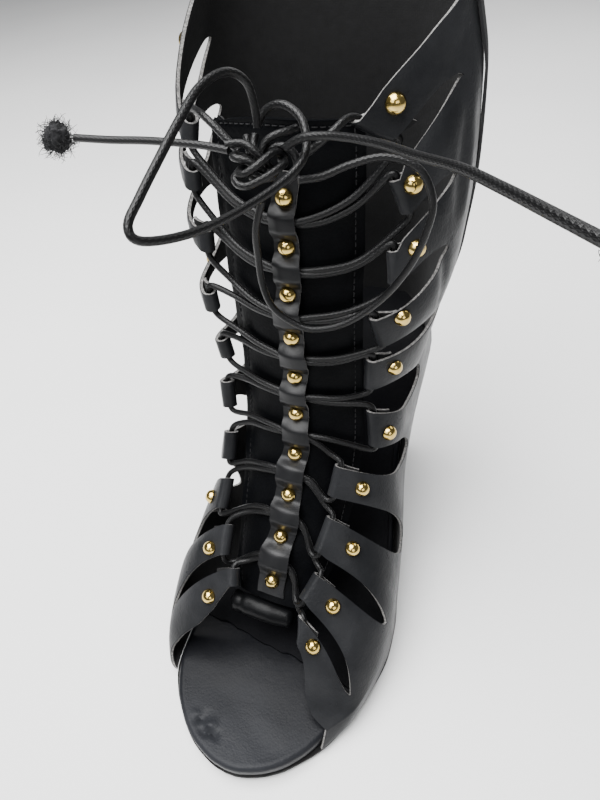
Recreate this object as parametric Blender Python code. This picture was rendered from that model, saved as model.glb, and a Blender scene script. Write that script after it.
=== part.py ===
"""Open-toe cage ankle boot with a high heel, left shoe.

Tables are in millimetres in the shoe's own frame: x is lateral (+) or medial (-) of the heel's centre line,
y is the distance behind the toe tip, z is the height above the floor. `at` turns them into metres about the
origin, which is the middle of the shoe's box on the floor. Run it with blender --background --python part.py.
"""

import math

import bmesh
import bpy
from mathutils import Vector

# ---------------------------------------------------------------- driving dimensions (mm)
MM = 0.001
ORIGIN_X = -10.2            # middle of the box, from the heel's centre line
ORIGIN_Y = 101.4            # middle of the box, behind the toe tip
GAP = 0.3                    # air left between two pieces that touch

OUTSOLE = 3.0                # thickness of the outsole
BOARD = 6.2                  # thickness of the covered footbed
SOCK = 1.0                   # thickness of the sock lining
WALL = 1.3                   # thickness of the upper's leather
TONGUE_WALL = 1.8            # thickness of the padded tongue
SPINE_WALL = 1.2
HUMP = 3.6                   # how far that strap stands off the tongue between its studs
CORD = 2.4                   # diameter of the round lace
STUD = 6.5                   # diameter of a stud
STUD_HEIGHT = 2.6
LOOP = 3.2                   # outside radius of the folded lace loop at a strap's end
LEG = 8.0                   # length of the leg folded back under the strap
BREAST = 160.0               # y of the heel's front face at the seat
SEAM_X = 1.0                 # the back seam, from the heel's centre line
HEEL_ROW = 5.3               # row of the upper at which its base turns up the back seam


def at(point):
    """A point of the shoe's frame, in metres about the origin."""
    return Vector(((point[0] - ORIGIN_X) * MM, (point[1] - ORIGIN_Y) * MM, point[2] * MM))


def table(columns, rows):
    """A list of rows with named columns."""
    names = columns.split()
    return [dict(zip(names, row)) for row in rows]


def smooth(rows, key, name, value):
    """Cubic through a table's column `name` over its column `key`, with no overshoot."""
    xs = [row[key] for row in rows]
    ys = [row[name] for row in rows]
    if value <= xs[0]:
        return ys[0]
    if value >= xs[-1]:
        return ys[-1]
    i = max(k for k in range(len(xs) - 1) if xs[k] <= value)
    width = xs[i + 1] - xs[i]

    def slope(k):
        if k == 0:
            return (ys[1] - ys[0]) / (xs[1] - xs[0])
        if k == len(xs) - 1:
            return (ys[-1] - ys[-2]) / (xs[-1] - xs[-2])
        before = (ys[k] - ys[k - 1]) / (xs[k] - xs[k - 1])
        after = (ys[k + 1] - ys[k]) / (xs[k + 1] - xs[k])
        return 2.0 * before * after / (before + after) if before * after > 0.0 else 0.0

    t = (value - xs[i]) / width
    a, b = slope(i) * width, slope(i + 1) * width
    return ((2 * t**3 - 3 * t**2 + 1) * ys[i] + (t**3 - 2 * t**2 + t) * a
            + (-2 * t**3 + 3 * t**2) * ys[i + 1] + (t**3 - t**2) * b)


# ---------------------------------------------------------------- the last: sole outline and profile
# Top of the footbed and its two edges, from the toe tip to the back of the heel seat.
FOOTBED = table("y top medial lateral", [
    (-3.0, 12.0, -5.0, -5.0),
    (-2.6, 11.9, -10.0, -0.9),
    (-1.5, 11.8, -14.5, 3.0),
    (2.0, 11.4, -23.0, 10.5),
    (8.0, 10.8, -31.0, 18.0),
    (18.0, 10.2, -39.5, 25.5),
    (32.0, 9.8, -45.5, 31.8),
    (50.0, 9.5, -47.5, 37.5),
    (66.0, 9.5, -46.5, 40.0),
    (80.0, 10.8, -42.0, 39.0),
    (95.0, 16.8, -34.0, 35.5),
    (110.0, 28.0, -26.5, 31.0),
    (125.0, 42.5, -21.5, 27.0),
    (140.0, 58.5, -19.5, 25.0),
    (155.0, 75.5, -20.0, 24.3),
    (168.0, 89.0, -22.0, 25.0),
    (180.0, 97.0, -22.5, 24.5),
    (191.0, 101.0, -19.5, 20.5),
    (199.0, 102.8, -11.5, 12.5),
    (203.0, 103.5, 1.0, 1.0),
])
TOE_Y, HEEL_Y = FOOTBED[0]["y"], FOOTBED[-1]["y"]


def footbed_top(y):
    return smooth(FOOTBED, "y", "top", y)


def footbed_under(y):
    return footbed_top(y) - BOARD


def sole_edge(y, side):
    """x of the footbed's edge: side is +1 for lateral, -1 for medial."""
    return smooth(FOOTBED, "y", "lateral" if side > 0 else "medial", y)


# ---------------------------------------------------------------- the upper's surface
# Rows run from the toe opening (0) to above the collar (11); a slot lies along each whole row from 1 to 9.
# crown_*: the top line over the instep. base_y: where the row meets the sole. back_z: its height on the seam.
# lateral, medial: x of the widest points. belly: how far up the row they are. full: squareness of the medial
# shoulder, where 2 is an ellipse. sag: how far the lateral shoulder is pressed in.
ROWS = table("row crown_x crown_y crown_z base_y back_z lateral medial belly full sag", [
    (0.0, -8.0, 44.5, 42.5, 20.0, 97.0, 28.6, -45.5, 0.21, 1.6, 13.0),
    (1.0, -8.5, 54.5, 49.0, 34.0, 97.0, 38.0, -55.0, 0.24, 2.0, 1.5),
    (2.0, -9.0, 69.0, 60.8, 62.0, 97.0, 42.0, -59.5, 0.30, 2.2, 0.0),
    (3.0, -9.8, 84.7, 77.5, 112.0, 97.0, 36.2, -54.5, 0.36, 2.4, 0.0),
    (4.0, -10.5, 95.5, 94.0, 146.0, 97.0, 28.8, -51.0, 0.50, 3.0, 0.0),
    (5.0, -11.2, 104.0, 115.0, 176.0, 97.0, 28.2, -53.5, 0.58, 3.4, 0.0),
    (5.1, -11.3, 104.4, 116.6, 189.5, 97.0, 28.3, -53.7, 0.58, 3.4, 0.0),
    (5.2, -11.3, 104.9, 118.3, 199.4, 97.0, 28.5, -53.9, 0.58, 3.5, 0.0),
    (5.3, -11.4, 105.3, 120.0, 203.0, 97.0, 28.7, -54.1, 0.58, 3.6, 0.0),
    (6.0, -11.8, 108.3, 131.0, 203.0, 139.0, 33.6, -57.0, 0.54, 4.0, 0.0),
    (7.0, -12.3, 111.0, 149.0, 203.0, 168.0, 38.5, -59.0, 0.50, 4.4, 0.0),
    (8.0, -12.8, 115.5, 170.0, 203.0, 200.0, 40.0, -60.5, 0.48, 4.4, 0.0),
    (9.0, -13.2, 119.5, 191.0, 203.0, 233.0, 38.6, -61.0, 0.48, 4.4, 0.0),
    (10.0, -13.5, 121.5, 208.0, 203.0, 262.0, 33.2, -59.0, 0.48, 4.0, 0.0),
    (11.0, -13.5, 122.5, 236.0, 203.0, 292.0, 29.8, -57.0, 0.48, 2.6, 0.0),
])
# The back seam: over the heel seat, in at the ankle, out a little at the collar.
SEAM = table("z y", [
    (97.0, 205.4),
    (112.0, 206.0),
    (130.0, 204.0),
    (155.0, 198.5),
    (180.0, 195.0),
    (210.0, 194.5),
    (250.0, 197.0),
    (290.0, 199.0),
])


def of_row(name, row):
    return smooth(ROWS, "row", name, row)


def base_point(row, side):
    """Where a row of the upper ends: at the sole's edge, or on the back seam."""
    out = WALL + GAP + 0.4
    if row < HEEL_ROW:
        y = of_row("base_y", row)
        slope = (sole_edge(y + 1.0, side) - sole_edge(y - 1.0, side)) / 2.0
        size = math.hypot(1.0, slope)
        return sole_edge(y, side) + side * out / size, y - side * out * slope / size, footbed_under(y) + GAP
    z = of_row("back_z", row)
    return SEAM_X, smooth(SEAM, "z", "y", z), z


def section(row, side, steps=40):
    """Points of one row from the crown to its base, in the plane that holds both and the x axis."""
    xb, yb, zb = base_point(row, side)
    xc, yc, zc = of_row("crown_x", row), of_row("crown_y", row), of_row("crown_z", row)
    wide = of_row("lateral" if side > 0 else "medial", row)
    wide = max(wide, xb) if side > 0 else min(wide, xb)
    belly = of_row("belly", row)
    power = 2.0 / (2.0 if side > 0 else of_row("full", row))
    sag = of_row("sag", row) if side > 0 else 0.0
    points = []
    for i in range(steps + 1):
        turn = math.pi * i / steps
        c, s = math.cos(turn), math.sin(turn)
        if i * 2 <= steps:
            x, r = xc + (wide - xc) * s**power, belly + (1.0 - belly) * max(c, 0.0) ** power
            x -= sag * s**2.1 * (1.0 - (2.0 * i / steps) ** 10)
        else:
            x, r = xb + (wide - xb) * s, belly * (1.0 + c)
        points.append(Vector((x, yb + (yc - yb) * r, zb + (zc - zb) * r)))
    return points


def running(points):
    """Running length along a list of points."""
    lengths = [0.0]
    for a, b in zip(points, points[1:]):
        lengths.append(lengths[-1] + (b - a).length)
    return lengths


def half_girth(row, side):
    return running(section(row, side))[-1]


def on_upper(row, side, reach):
    """The upper's outer surface: reach is the girth from the crown."""
    points = section(row, side)
    lengths = running(points)
    reach = min(max(reach, 0.0), lengths[-1])
    i = max(k for k in range(len(lengths) - 1) if lengths[k] <= reach)
    t = (reach - lengths[i]) / max(lengths[i + 1] - lengths[i], 1e-9)
    return points[i].lerp(points[i + 1], min(t, 1.0))


def upper_normal(row, side, reach):
    """Outward direction of that surface."""
    along = on_upper(row + 0.08, side, reach) - on_upper(row - 0.08, side, reach)
    across = on_upper(row, side, reach + 1.5) - on_upper(row, side, max(reach - 1.5, 0.0))
    return (across.cross(along) * side).normalized()


# Straps of one side in order from the toe (10) to the collar (1). low, high: rows of the two front corners.
# low_reach, high_reach: how far from the crown those corners lie. stud: how far from the crown its stud is, and
# up: how far up the strap. fill: how many rows its upper edge rises into the slot behind the loop.
# hang: how many rows its lower edge bulges down into the slot below.
STRAPS = {
    1: table("strap low high low_reach high_reach stud up fill hang", [
        (10, 0.15, 0.80, 18.5, 15.5, 26.4, 0.62, 0.0, 0.0),
        (9, 1.25, 1.85, 14.0, 18.0, 29.6, 0.58, 0.0, 0.16),
        (8, 2.25, 2.85, 16.0, 19.0, 32.5, 0.60, 0.0, 0.10),
        (7, 3.25, 3.85, 18.0, 19.5, 32.0, 0.50, 0.0, 0.0),
        (6, 4.25, 4.85, 35.0, 32.0, 41.7, 0.43, 0.0, 0.0),
        (5, 5.25, 5.88, 31.0, 30.0, 41.8, 0.65, 0.0, 0.0),
        (4, 6.22, 6.90, 34.0, 30.0, 42.2, 0.80, 0.0, 0.0),
        (3, 7.45, 7.98, 37.0, 35.5, 45.5, 0.50, 0.25, 0.0),
        (2, 8.45, 8.98, 40.0, 35.0, 42.6, 0.48, 0.45, 0.0),
        (1, 9.64, 10.10, 34.0, 22.0, 36.4, 0.62, 0.0, 0.0),
    ]),
    -1: table("strap low high low_reach high_reach stud up fill hang", [
        (10, 0.97, 1.39, 14.0, 16.0, 26.5, 0.43, 0.0, 0.0),
        (9, 1.65, 2.25, 23.0, 25.0, 32.2, 0.35, 0.0, 0.0),
        (8, 2.54, 3.02, 34.0, 35.0, 45.0, 0.50, 0.0, 0.0),
        (7, 3.36, 3.88, 37.0, 37.0, 63.0, 0.50, 0.0, 0.0),
        (6, 4.33, 4.80, 39.0, 39.0, 64.0, 0.50, 0.0, 0.0),
        (5, 5.27, 5.70, 40.0, 40.0, 65.0, 0.50, 0.0, 0.0),
        (4, 6.55, 6.96, 38.0, 38.0, 66.0, 0.50, 0.0, 0.0),
        (3, 7.84, 8.20, 33.5, 33.0, 65.0, 0.50, 0.0, 0.0),
        (2, 8.74, 9.08, 39.0, 38.0, 68.0, 0.50, 0.0, 0.0),
        (1, 9.60, 9.94, 38.5, 37.0, 71.0, 0.50, 0.0, 0.0),
    ]),
}
# Rounded inner ends of the slots between straps: the row each lies on and how far from the crown.
TIPS = table("slot seam lateral_row lateral medial_row medial", [
    (0, 0.00, 0.00, 48.0, 0.25, 50.0),
    (1, 1.00, 0.82, 56.8, 1.05, 60.0),
    (2, 2.00, 2.10, 62.0, 2.05, 70.0),
    (3, 3.00, 3.00, 79.0, 3.10, 78.0),
    (4, 4.00, 4.00, 76.0, 4.05, 78.0),
    (5, 5.00, 5.00, 75.0, 5.00, 82.0),
    (6, 6.00, 6.05, 76.0, 6.10, 90.0),
    (7, 7.00, 7.50, 62.0, 7.40, 90.0),
    (8, 7.90, 8.46, 62.4, 8.45, 90.0),
    (9, 8.80, 9.53, 65.5, 9.35, 90.0),
    (10, 9.75, 10.3, 78.0, 10.2, 92.0),
])
# Toe line: its row at parts of the way from the front corner to where the toe straps meet the sole's side.
TOE = table("part lateral medial", [
    (0.0, 0.15, 0.97),
    (0.1, 0.13, 0.66),
    (0.22, 0.11, 0.36),
    (0.5, 0.07, 0.17),
    (1.0, 0.0, 0.25),
])
TOE_BASE = {1: 0.0, -1: 0.5}      # its row at the sole
# Collar line: its row at parts of the way from the front corner to the back seam.
COLLAR = table("part lateral medial", [
    (0.0, 10.10, 9.94),
    (0.03, 10.19, 9.98),
    (0.06, 10.28, 10.03),
    (0.10, 10.34, 10.08),
    (0.14, 10.37, 10.12),
    (0.22, 10.39, 10.20),
    (0.31, 10.34, 10.22),
    (0.45, 10.20, 10.20),
    (0.7, 10.0, 10.0),
    (1.0, 9.75, 9.75),
])
SLOT_STEPS = (0.0, 0.20, 0.42, 0.64, 0.84, 0.96, 1.0)
REAR_STEPS = (0.14, 0.34, 0.56, 0.78, 1.0)
BASE_STEPS = (0.0, 0.25, 0.5, 0.75, 1.0)      # rows of straps 10 to 6 where they run down to the sole
HEEL_STEPS = (0.0, 0.06, 0.12, 0.18, 0.24, 0.30, 0.6, 1.0)   # rows of strap 5, closer round the heel seat


def side_name(side):
    return "lateral" if side > 0 else "medial"


def strap_edge(side, index, part, upper_edge):
    """(row, reach) on one long edge of a strap, part of the way from its front corner to the slot's end."""
    strap = STRAPS[side][index]
    row = strap["high" if upper_edge else "low"]
    reach = strap["high_reach" if upper_edge else "low_reach"] + LOOP
    tip = TIPS[index + 1 if upper_edge else index]
    end_row, end_reach = tip[side_name(side) + "_row"], tip[side_name(side)]
    if index == len(TIPS) - 2 and upper_edge:
        inner = smooth(COLLAR, "part", side_name(side), 0.45 * part)
    elif index == 0 and not upper_edge:
        inner = smooth(TOE, "part", side_name(side), part)
    else:
        other = STRAPS[side][index + 1]["low"] if upper_edge else STRAPS[side][index - 1]["high"]
        middle = (row + other) / 2.0
        teardrop = (1.0 - part**3) ** 0.6 * (1.0 + 0.25 * math.sin(math.pi * part))
        inner = middle + (end_row - middle) * part + (row - middle) * teardrop
        bulge = math.sqrt(math.sin(math.pi * min(part, 0.999)))
        inner += strap["fill"] * bulge if upper_edge else -strap["hang"] * bulge
    return inner, reach + (end_reach - reach) * part


def rear_edge(side, index, part):
    """(row, reach) behind the slots, from the tip of slot `index` to the sole or the back seam."""
    tip = TIPS[index]
    start = tip[side_name(side)]
    row = tip[side_name(side) + "_row"]
    row = row + (tip["seam"] - row) * part if index >= 5 else row
    if index == 0:
        row = row + (TOE_BASE[side] - row) * part
    if index == len(TIPS) - 1:
        row = smooth(COLLAR, "part", side_name(side), 0.45 + 0.55 * part)
    return row, start + (half_girth(row, side) - start) * part


def strap_point(side, index, across, part):
    """(row, reach) inside a strap: across is 0 on its lower edge and 1 on its upper one."""
    low = strap_edge(side, index, part, False)
    high = strap_edge(side, index, part, True)
    return tuple(a + (b - a) * across for a, b in zip(low, high))


def loop_profile():
    """The folded loop: (forward, inward) of its outer face, from the strap's top round and back under it."""
    turn = [(LOOP * math.sin(a), LOOP * (1.0 - math.cos(a))) for a in
            (math.radians(d) for d in (180, 120, 60))]
    leg_end = WALL * 2.0 + 0.5
    return [(-LEG, leg_end)] + turn


# ---------------------------------------------------------------- building blocks
def add_object(name, mesh_or_bm, smooth_angle=40.0):
    """Links a mesh to the boot's collection with its own material and shades it smooth but for sharp edges."""
    if isinstance(mesh_or_bm, bmesh.types.BMesh):
        mesh = bpy.data.meshes.new(name)
        bmesh.ops.recalc_face_normals(mesh_or_bm, faces=mesh_or_bm.faces[:])
        mesh_or_bm.to_mesh(mesh)
        mesh_or_bm.free()
    else:
        mesh = mesh_or_bm
    obj = bpy.data.objects.new(name, mesh)
    BOOT.objects.link(obj)
    mesh.materials.append(look(name))
    mesh.shade_smooth()
    mesh.set_sharp_from_angle(angle=math.radians(smooth_angle))
    return obj


def add_curve(name, curve):
    obj = bpy.data.objects.new(name, curve)
    BOOT.objects.link(obj)
    curve.materials.append(look(name))
    return obj


def look(name):
    """The part's own plain material."""
    colour, roughness, metallic = LOOKS[name.rstrip("0123456789").rstrip("_")]
    material = bpy.data.materials.new(name)
    material.use_nodes = True
    shader = material.node_tree.nodes["Principled BSDF"]
    shader.inputs["Base Color"].default_value = (*colour, 1.0)
    shader.inputs["Roughness"].default_value = roughness
    shader.inputs["Metallic"].default_value = metallic
    return material


def shell(points, faces, thickness, lift=0.0):
    """Closed wall from an open sheet: its outer face moved out by lift, its inner one thickness below that."""
    bm = bmesh.new()
    sheet = [bm.verts.new(p) for p in points]
    for face in faces:
        bm.faces.new([sheet[i] for i in face])
    bm.normal_update()
    rims = [(edge.verts[0], edge.verts[1]) for edge in bm.edges if edge.is_boundary]
    shift = {v: v.normal * v.calc_shell_factor() for v in sheet}
    inner = {v: bm.verts.new(v.co + shift[v] * (lift - thickness)) for v in sheet}
    for face in bm.faces[:]:
        bm.faces.new([inner[v] for v in reversed(face.verts)])
    for a, b in rims:
        bm.faces.new([a, b, inner[b], inner[a]])
    for v in sheet:
        v.co = v.co + shift[v] * lift
    for v in bm.verts:
        v.co = at(v.co)
    return bm


def grid_faces(rows, columns, first=0):
    """Quads of a grid whose points are listed row by row."""
    return [(first + r * columns + c, first + r * columns + c + 1,
             first + (r + 1) * columns + c + 1, first + (r + 1) * columns + c)
            for r in range(rows - 1) for c in range(columns - 1)]


def stations(y_from, y_to):
    """The y of every cross line of the sole between two ends, close together at the toe and the heel."""
    whole = [TOE_Y + (HEEL_Y - TOE_Y) * 0.5 * (1.0 - math.cos(math.pi * i / 30)) for i in range(31)]
    return [y_from] + [y for y in whole if y_from + 0.5 < y < y_to - 1.5] + [y_to]


def sole_ring(y_from, y_to, grow, height):
    """Points round part of the sole, each moved out by grow(y): up the lateral edge, back down the medial one."""
    ys = stations(y_from, y_to)
    ring = []
    for side, order in ((1, ys), (-1, ys[::-1])):
        for y in order:
            out = grow(y) if callable(grow) else grow
            tip = sole_edge(y, 1) - sole_edge(y, -1) < 0.01
            if tip and side < 0:
                continue
            slope = (sole_edge(y + 0.5, side) - sole_edge(y - 0.5, side))
            size = math.hypot(1.0, slope)
            x, back = sole_edge(y, side) + side * out / size, y - side * out * slope / size
            if tip:
                x, back = sole_edge(y, side), y + (out if y > 100.0 else -out)
            elif y in (y_from, y_to):
                back = y
            ring.append((x, back, height(back)))
    return ring


def slab(name, y_from, y_to, layers):
    """A layer of the sole lofted through rings of (grow, height) listed from its top to its underside."""
    bm = bmesh.new()
    rings = []
    for grow, height in layers:
        rings.append([bm.verts.new(at(p)) for p in sole_ring(y_from, y_to, grow, height)])
    count = len(rings[0])
    for upper, lower in zip(rings, rings[1:]):
        for i in range(count):
            j = (i + 1) % count
            bm.faces.new([upper[i], upper[j], lower[j], lower[i]])
    for ring in (rings[0], rings[-1]):
        left, right = 0, count - 1
        if sole_edge(y_from, 1) - sole_edge(y_from, -1) < 0.01:
            bm.faces.new([ring[0], ring[1], ring[-1]])
            left, right = 1, count - 1
        while right - left > 2:
            bm.faces.new([ring[left], ring[left + 1], ring[right - 1], ring[right]])
            left, right = left + 1, right - 1
        if right - left == 2:
            bm.faces.new([ring[left], ring[left + 1], ring[right]])
    return add_object(name, bm, 50.0)


def tube(points, diameter, sides=8):
    """Closed round tube through a list of points, as a bmesh in metres."""
    bm = bmesh.new()
    rings = []
    normal = None
    for i, point in enumerate(points):
        ahead = (points[min(i + 1, len(points) - 1)] - points[max(i - 1, 0)]).normalized()
        if normal is None:
            normal = ahead.orthogonal().normalized()
        normal = (normal - ahead * normal.dot(ahead)).normalized()
        side = ahead.cross(normal)
        ring = []
        for k in range(sides):
            a = 2.0 * math.pi * k / sides
            ring.append(bm.verts.new(at(point + (normal * math.cos(a) + side * math.sin(a)) * diameter / 2.0)))
        rings.append(ring)
    for a, b in zip(rings, rings[1:]):
        for k in range(sides):
            bm.faces.new([a[k], a[(k + 1) % sides], b[(k + 1) % sides], b[k]])
    bm.faces.new(rings[0][::-1])
    bm.faces.new(rings[-1])
    return bm


def spline(points, steps):
    """Smooth curve through points, with a number of steps between each two."""
    line = []
    count = len(points)
    for i in range(count - 1):
        p0, p1, p2, p3 = (points[max(i - 1, 0)], points[i], points[i + 1], points[min(i + 2, count - 1)])
        for k in range(steps):
            t = k / steps
            line.append(0.5 * (2.0 * p1 + (p2 - p0) * t + (2.0 * p0 - 5.0 * p1 + 4.0 * p2 - p3) * t**2
                               + (3.0 * p1 - p0 - 3.0 * p2 + p3) * t**3))
    line.append(points[-1].copy())
    return line


# ---------------------------------------------------------------- sole, footbed and heel
def rim(y):
    """How far the outsole stands out past the footbed: little at the open toe, a wall's width under the upper."""
    t = min(max((y - 8.0) / 20.0, 0.0), 1.0)
    return 0.2 + 1.9 * t * t * (3.0 - 2.0 * t)


def inset(y):
    """The footbed is drawn in a little where the upper's counter closes round it."""
    t = min(max((y - 120.0) / 50.0, 0.0), 1.0)
    return -0.2 - 2.6 * t * t * (3.0 - 2.0 * t)


def build_sole():
    under = footbed_under

    def seat(y):
        return under(y) - GAP * math.hypot(1.0, under(y + 0.5) - under(y - 0.5))

    slab("outsole", TOE_Y, BREAST, [
        (lambda y: rim(y) - 0.6, seat),
        (rim, lambda y: seat(y) - 0.7),
        (lambda y: rim(y) - 0.2, lambda y: seat(y) - OUTSOLE + 0.9),
        (lambda y: rim(y) - 1.4, lambda y: max(seat(y) - OUTSOLE, 0.0)),
    ])
    slab("footbed", TOE_Y, HEEL_Y, [
        (lambda y: inset(y) - 2.2, footbed_top),
        (lambda y: inset(y) - 0.7, lambda y: footbed_top(y) - 0.7),
        (inset, lambda y: footbed_top(y) - 2.2),
        (inset, lambda y: under(y) + 1.0),
        (lambda y: inset(y) - 0.8, under),
    ])
    slab("sock_lining", 49.0, 199.0, [
        (lambda y: inset(y) - 2.8, lambda y: footbed_top(y) + SOCK + GAP * math.hypot(1.0, under(y + 0.5) - under(y - 0.5))),
        (lambda y: inset(y) - 2.8, lambda y: footbed_top(y) + GAP * math.hypot(1.0, under(y + 0.5) - under(y - 0.5))),
    ])


HEEL_SHAPE = table("down blend", [(0.0, 0.0), (0.10, 0.16), (0.25, 0.42), (0.45, 0.68), (0.7, 0.88), (1.0, 1.0)])
TIP_HALF = 6.0
TIP_X, TIP_Y, TIP_TALL = 1.5, 189.0, 6.0


def build_heel():
    """Covered heel drawn in from the seat's outline to the small square tip, and the tip under it."""
    top = sole_ring(BREAST + GAP, HEEL_Y, 0.6, lambda y: footbed_under(y) - 1.5 * GAP)
    corner = TIP_HALF * 0.96
    bm = bmesh.new()
    rings = []
    for step in HEEL_SHAPE:
        ring = []
        for x, y, z in top:
            angle = math.atan2(y - (BREAST + HEEL_Y) / 2.0, x - TIP_X)
            reach = TIP_HALF / max(abs(math.cos(angle)), abs(math.sin(angle)))
            reach = min(reach, corner * 1.25)
            end = Vector((TIP_X + reach * math.cos(angle), TIP_Y + reach * math.sin(angle), TIP_TALL + GAP))
            point = Vector((x, y, z)).lerp(end, step["blend"])
            point.z = z + (end.z - z) * step["down"]
            ring.append(bm.verts.new(at(point)))
        rings.append(ring)
    count = len(top)
    for upper, lower in zip(rings, rings[1:]):
        for i in range(count):
            bm.faces.new([upper[i], upper[(i + 1) % count], lower[(i + 1) % count], lower[i]])
    bm.faces.new(rings[-1])
    left, right = 0, count - 1
    while right - left > 2:
        bm.faces.new([rings[0][left], rings[0][left + 1], rings[0][right - 1], rings[0][right]])
        left, right = left + 1, right - 1
    if right - left == 2:
        bm.faces.new([rings[0][left], rings[0][left + 1], rings[0][right]])
    add_object("heel", bm, 50.0)

    bm = bmesh.new()
    rings = []
    for half, z in ((TIP_HALF, TIP_TALL), (TIP_HALF, 0.8), (TIP_HALF - 0.6, 0.0)):
        ring = []
        for k in range(16):
            angle = 2.0 * math.pi * (k + 0.5) / 16
            reach = min(half / max(abs(math.cos(angle)), abs(math.sin(angle))), half * 1.2)
            ring.append(bm.verts.new(at((TIP_X + reach * math.cos(angle), TIP_Y + reach * math.sin(angle), z))))
        rings.append(ring)
    for upper, lower in zip(rings, rings[1:]):
        for k in range(16):
            bm.faces.new([upper[k], upper[(k + 1) % 16], lower[(k + 1) % 16], lower[k]])
    bm.faces.new(rings[0])
    bm.faces.new(rings[-1])
    add_object("heel_tip", bm, 40.0)


# ---------------------------------------------------------------- upper
def build_upper():
    """The cage: ten straps a side, each with its folded loop, one body with the panels and the back seam."""
    points, faces, index_of = [], [], {}

    def vertex(key, make):
        if key not in index_of:
            index_of[key] = len(points)
            points.append(make())
        return index_of[key]

    for side in (1, -1):
        for index in range(len(STRAPS[side])):
            rows = (0.0, 0.5, 1.0)
            columns = []
            for forward, inward in loop_profile():
                column = []
                for across in rows:
                    row, reach = strap_point(side, index, across, 0.0)
                    normal = upper_normal(row, side, reach)
                    if forward < 0.0:
                        spot = on_upper(row, side, reach - forward)
                        spot = spot - upper_normal(row, side, reach - forward) * inward
                    else:
                        ahead = (on_upper(row, side, reach) - on_upper(row, side, reach + 2.0)).normalized()
                        spot = on_upper(row, side, reach) + ahead * forward - normal * inward
                    key = ("loop", side, index, across, forward, inward)
                    column.append(vertex(key, lambda spot=spot: spot))
                columns.append(column)
            for part in SLOT_STEPS:
                column = []
                for across in rows:
                    row, reach = strap_point(side, index, across, part)
                    key = ("strap", side, index, across, part)
                    if part == 1.0 and across in (0.0, 1.0):
                        key = ("tip", side, index + int(across))
                    column.append(vertex(key, lambda: on_upper(row, side, reach)))
                columns.append(column)
            inner = BASE_STEPS if index < 5 else HEEL_STEPS if index == 5 else rows
            rear = []
            for part in (0.0,) + REAR_STEPS:
                column = []
                for across in inner:
                    low, high = rear_edge(side, index, part), rear_edge(side, index + 1, part)
                    row = low[0] + (high[0] - low[0]) * across
                    lo_tip = rear_edge(side, index, 0.0)[1]
                    hi_tip = rear_edge(side, index + 1, 0.0)[1]
                    start = lo_tip + (hi_tip - lo_tip) * across
                    full = half_girth(row, side)
                    reach = start + (full - start) * part
                    key = ("rear", side, index, across, part)
                    if across in (0.0, 1.0):
                        key = ("rear", side, index + int(across), part)
                        if part == 0.0:
                            key = ("tip", side, index + int(across))
                    elif part == 0.0 and across == 0.5:
                        key = ("strap", side, index, 0.5, 1.0)
                    if part == 1.0 and row >= HEEL_ROW - 1e-6:
                        key = ("seam", round(row, 3))
                    column.append(vertex(key, lambda: on_upper(row, side, reach)))
                rear.append(column)
            if inner is rows:
                columns = columns + rear[1:]
            else:
                middle = columns[-1]
                fan = rear[0]
                joined = [middle[0]] + [i for i in fan[1:-1]] + [middle[2]]
                rear[0] = joined
                before = columns[-2]
                columns = columns[:-1]
                half = len(joined) // 2
                for a, b in zip(joined[:half], joined[1:half + 1]):
                    faces.append((before[0], a, b) if side > 0 else (before[0], b, a))
                faces.append((before[0], joined[half], before[1])
                             if side > 0 else (before[0], before[1], joined[half]))
                for a, b in zip(joined[half:], joined[half + 1:]):
                    faces.append((before[1], a, b) if side > 0 else (before[1], b, a))
                faces.append((before[1], joined[-1], before[2])
                             if side > 0 else (before[1], before[2], joined[-1]))
                add_quads(faces, rear, side)
            add_quads(faces, columns, side)
    used = sorted({i for face in faces for i in face})
    place = {old: new for new, old in enumerate(used)}
    bm = shell([points[i] for i in used], [tuple(place[i] for i in face) for face in faces], WALL)
    return add_object("upper", bm, 45.0)


def add_quads(faces, columns, side):
    for a, b in zip(columns, columns[1:]):
        for k in range(len(a) - 1):
            quad = (a[k], b[k], b[k + 1], a[k + 1])
            if side < 0:
                quad = quad[::-1]
            ring = [i for n, i in enumerate(quad) if i != quad[n - 1]]
            if len(ring) > 2:
                faces.append(tuple(ring))


def build_side_strip():
    """Narrow dark strip that stands up the outer side of the shaft behind the slots."""
    points = []
    steps = 10
    for i in range(steps + 1):
        row = 6.1 + (10.05 - 6.1) * i / steps
        reach = running_to_y(row, 1, 167.0)
        for across in (-0.5, 0.5):
            points.append(on_upper(row, 1, reach + across * STRIP_WIDTH))
    faces = grid_faces(steps + 1, 2)
    bm = shell(points, faces, 0.9, GAP + 0.9 + 0.15)
    add_object("side_strip", bm)


STRIP_WIDTH = 5.0


def running_to_y(row, side, y):
    """Girth from the crown at which a row has come back to y on its way to the seam."""
    points = section(row, side)
    lengths = running(points)
    for a, b, la, lb in zip(points, points[1:], lengths, lengths[1:]):
        if a.y <= y <= b.y:
            return la + (lb - la) * (y - a.y) / (b.y - a.y)
    return lengths[-1]


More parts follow.
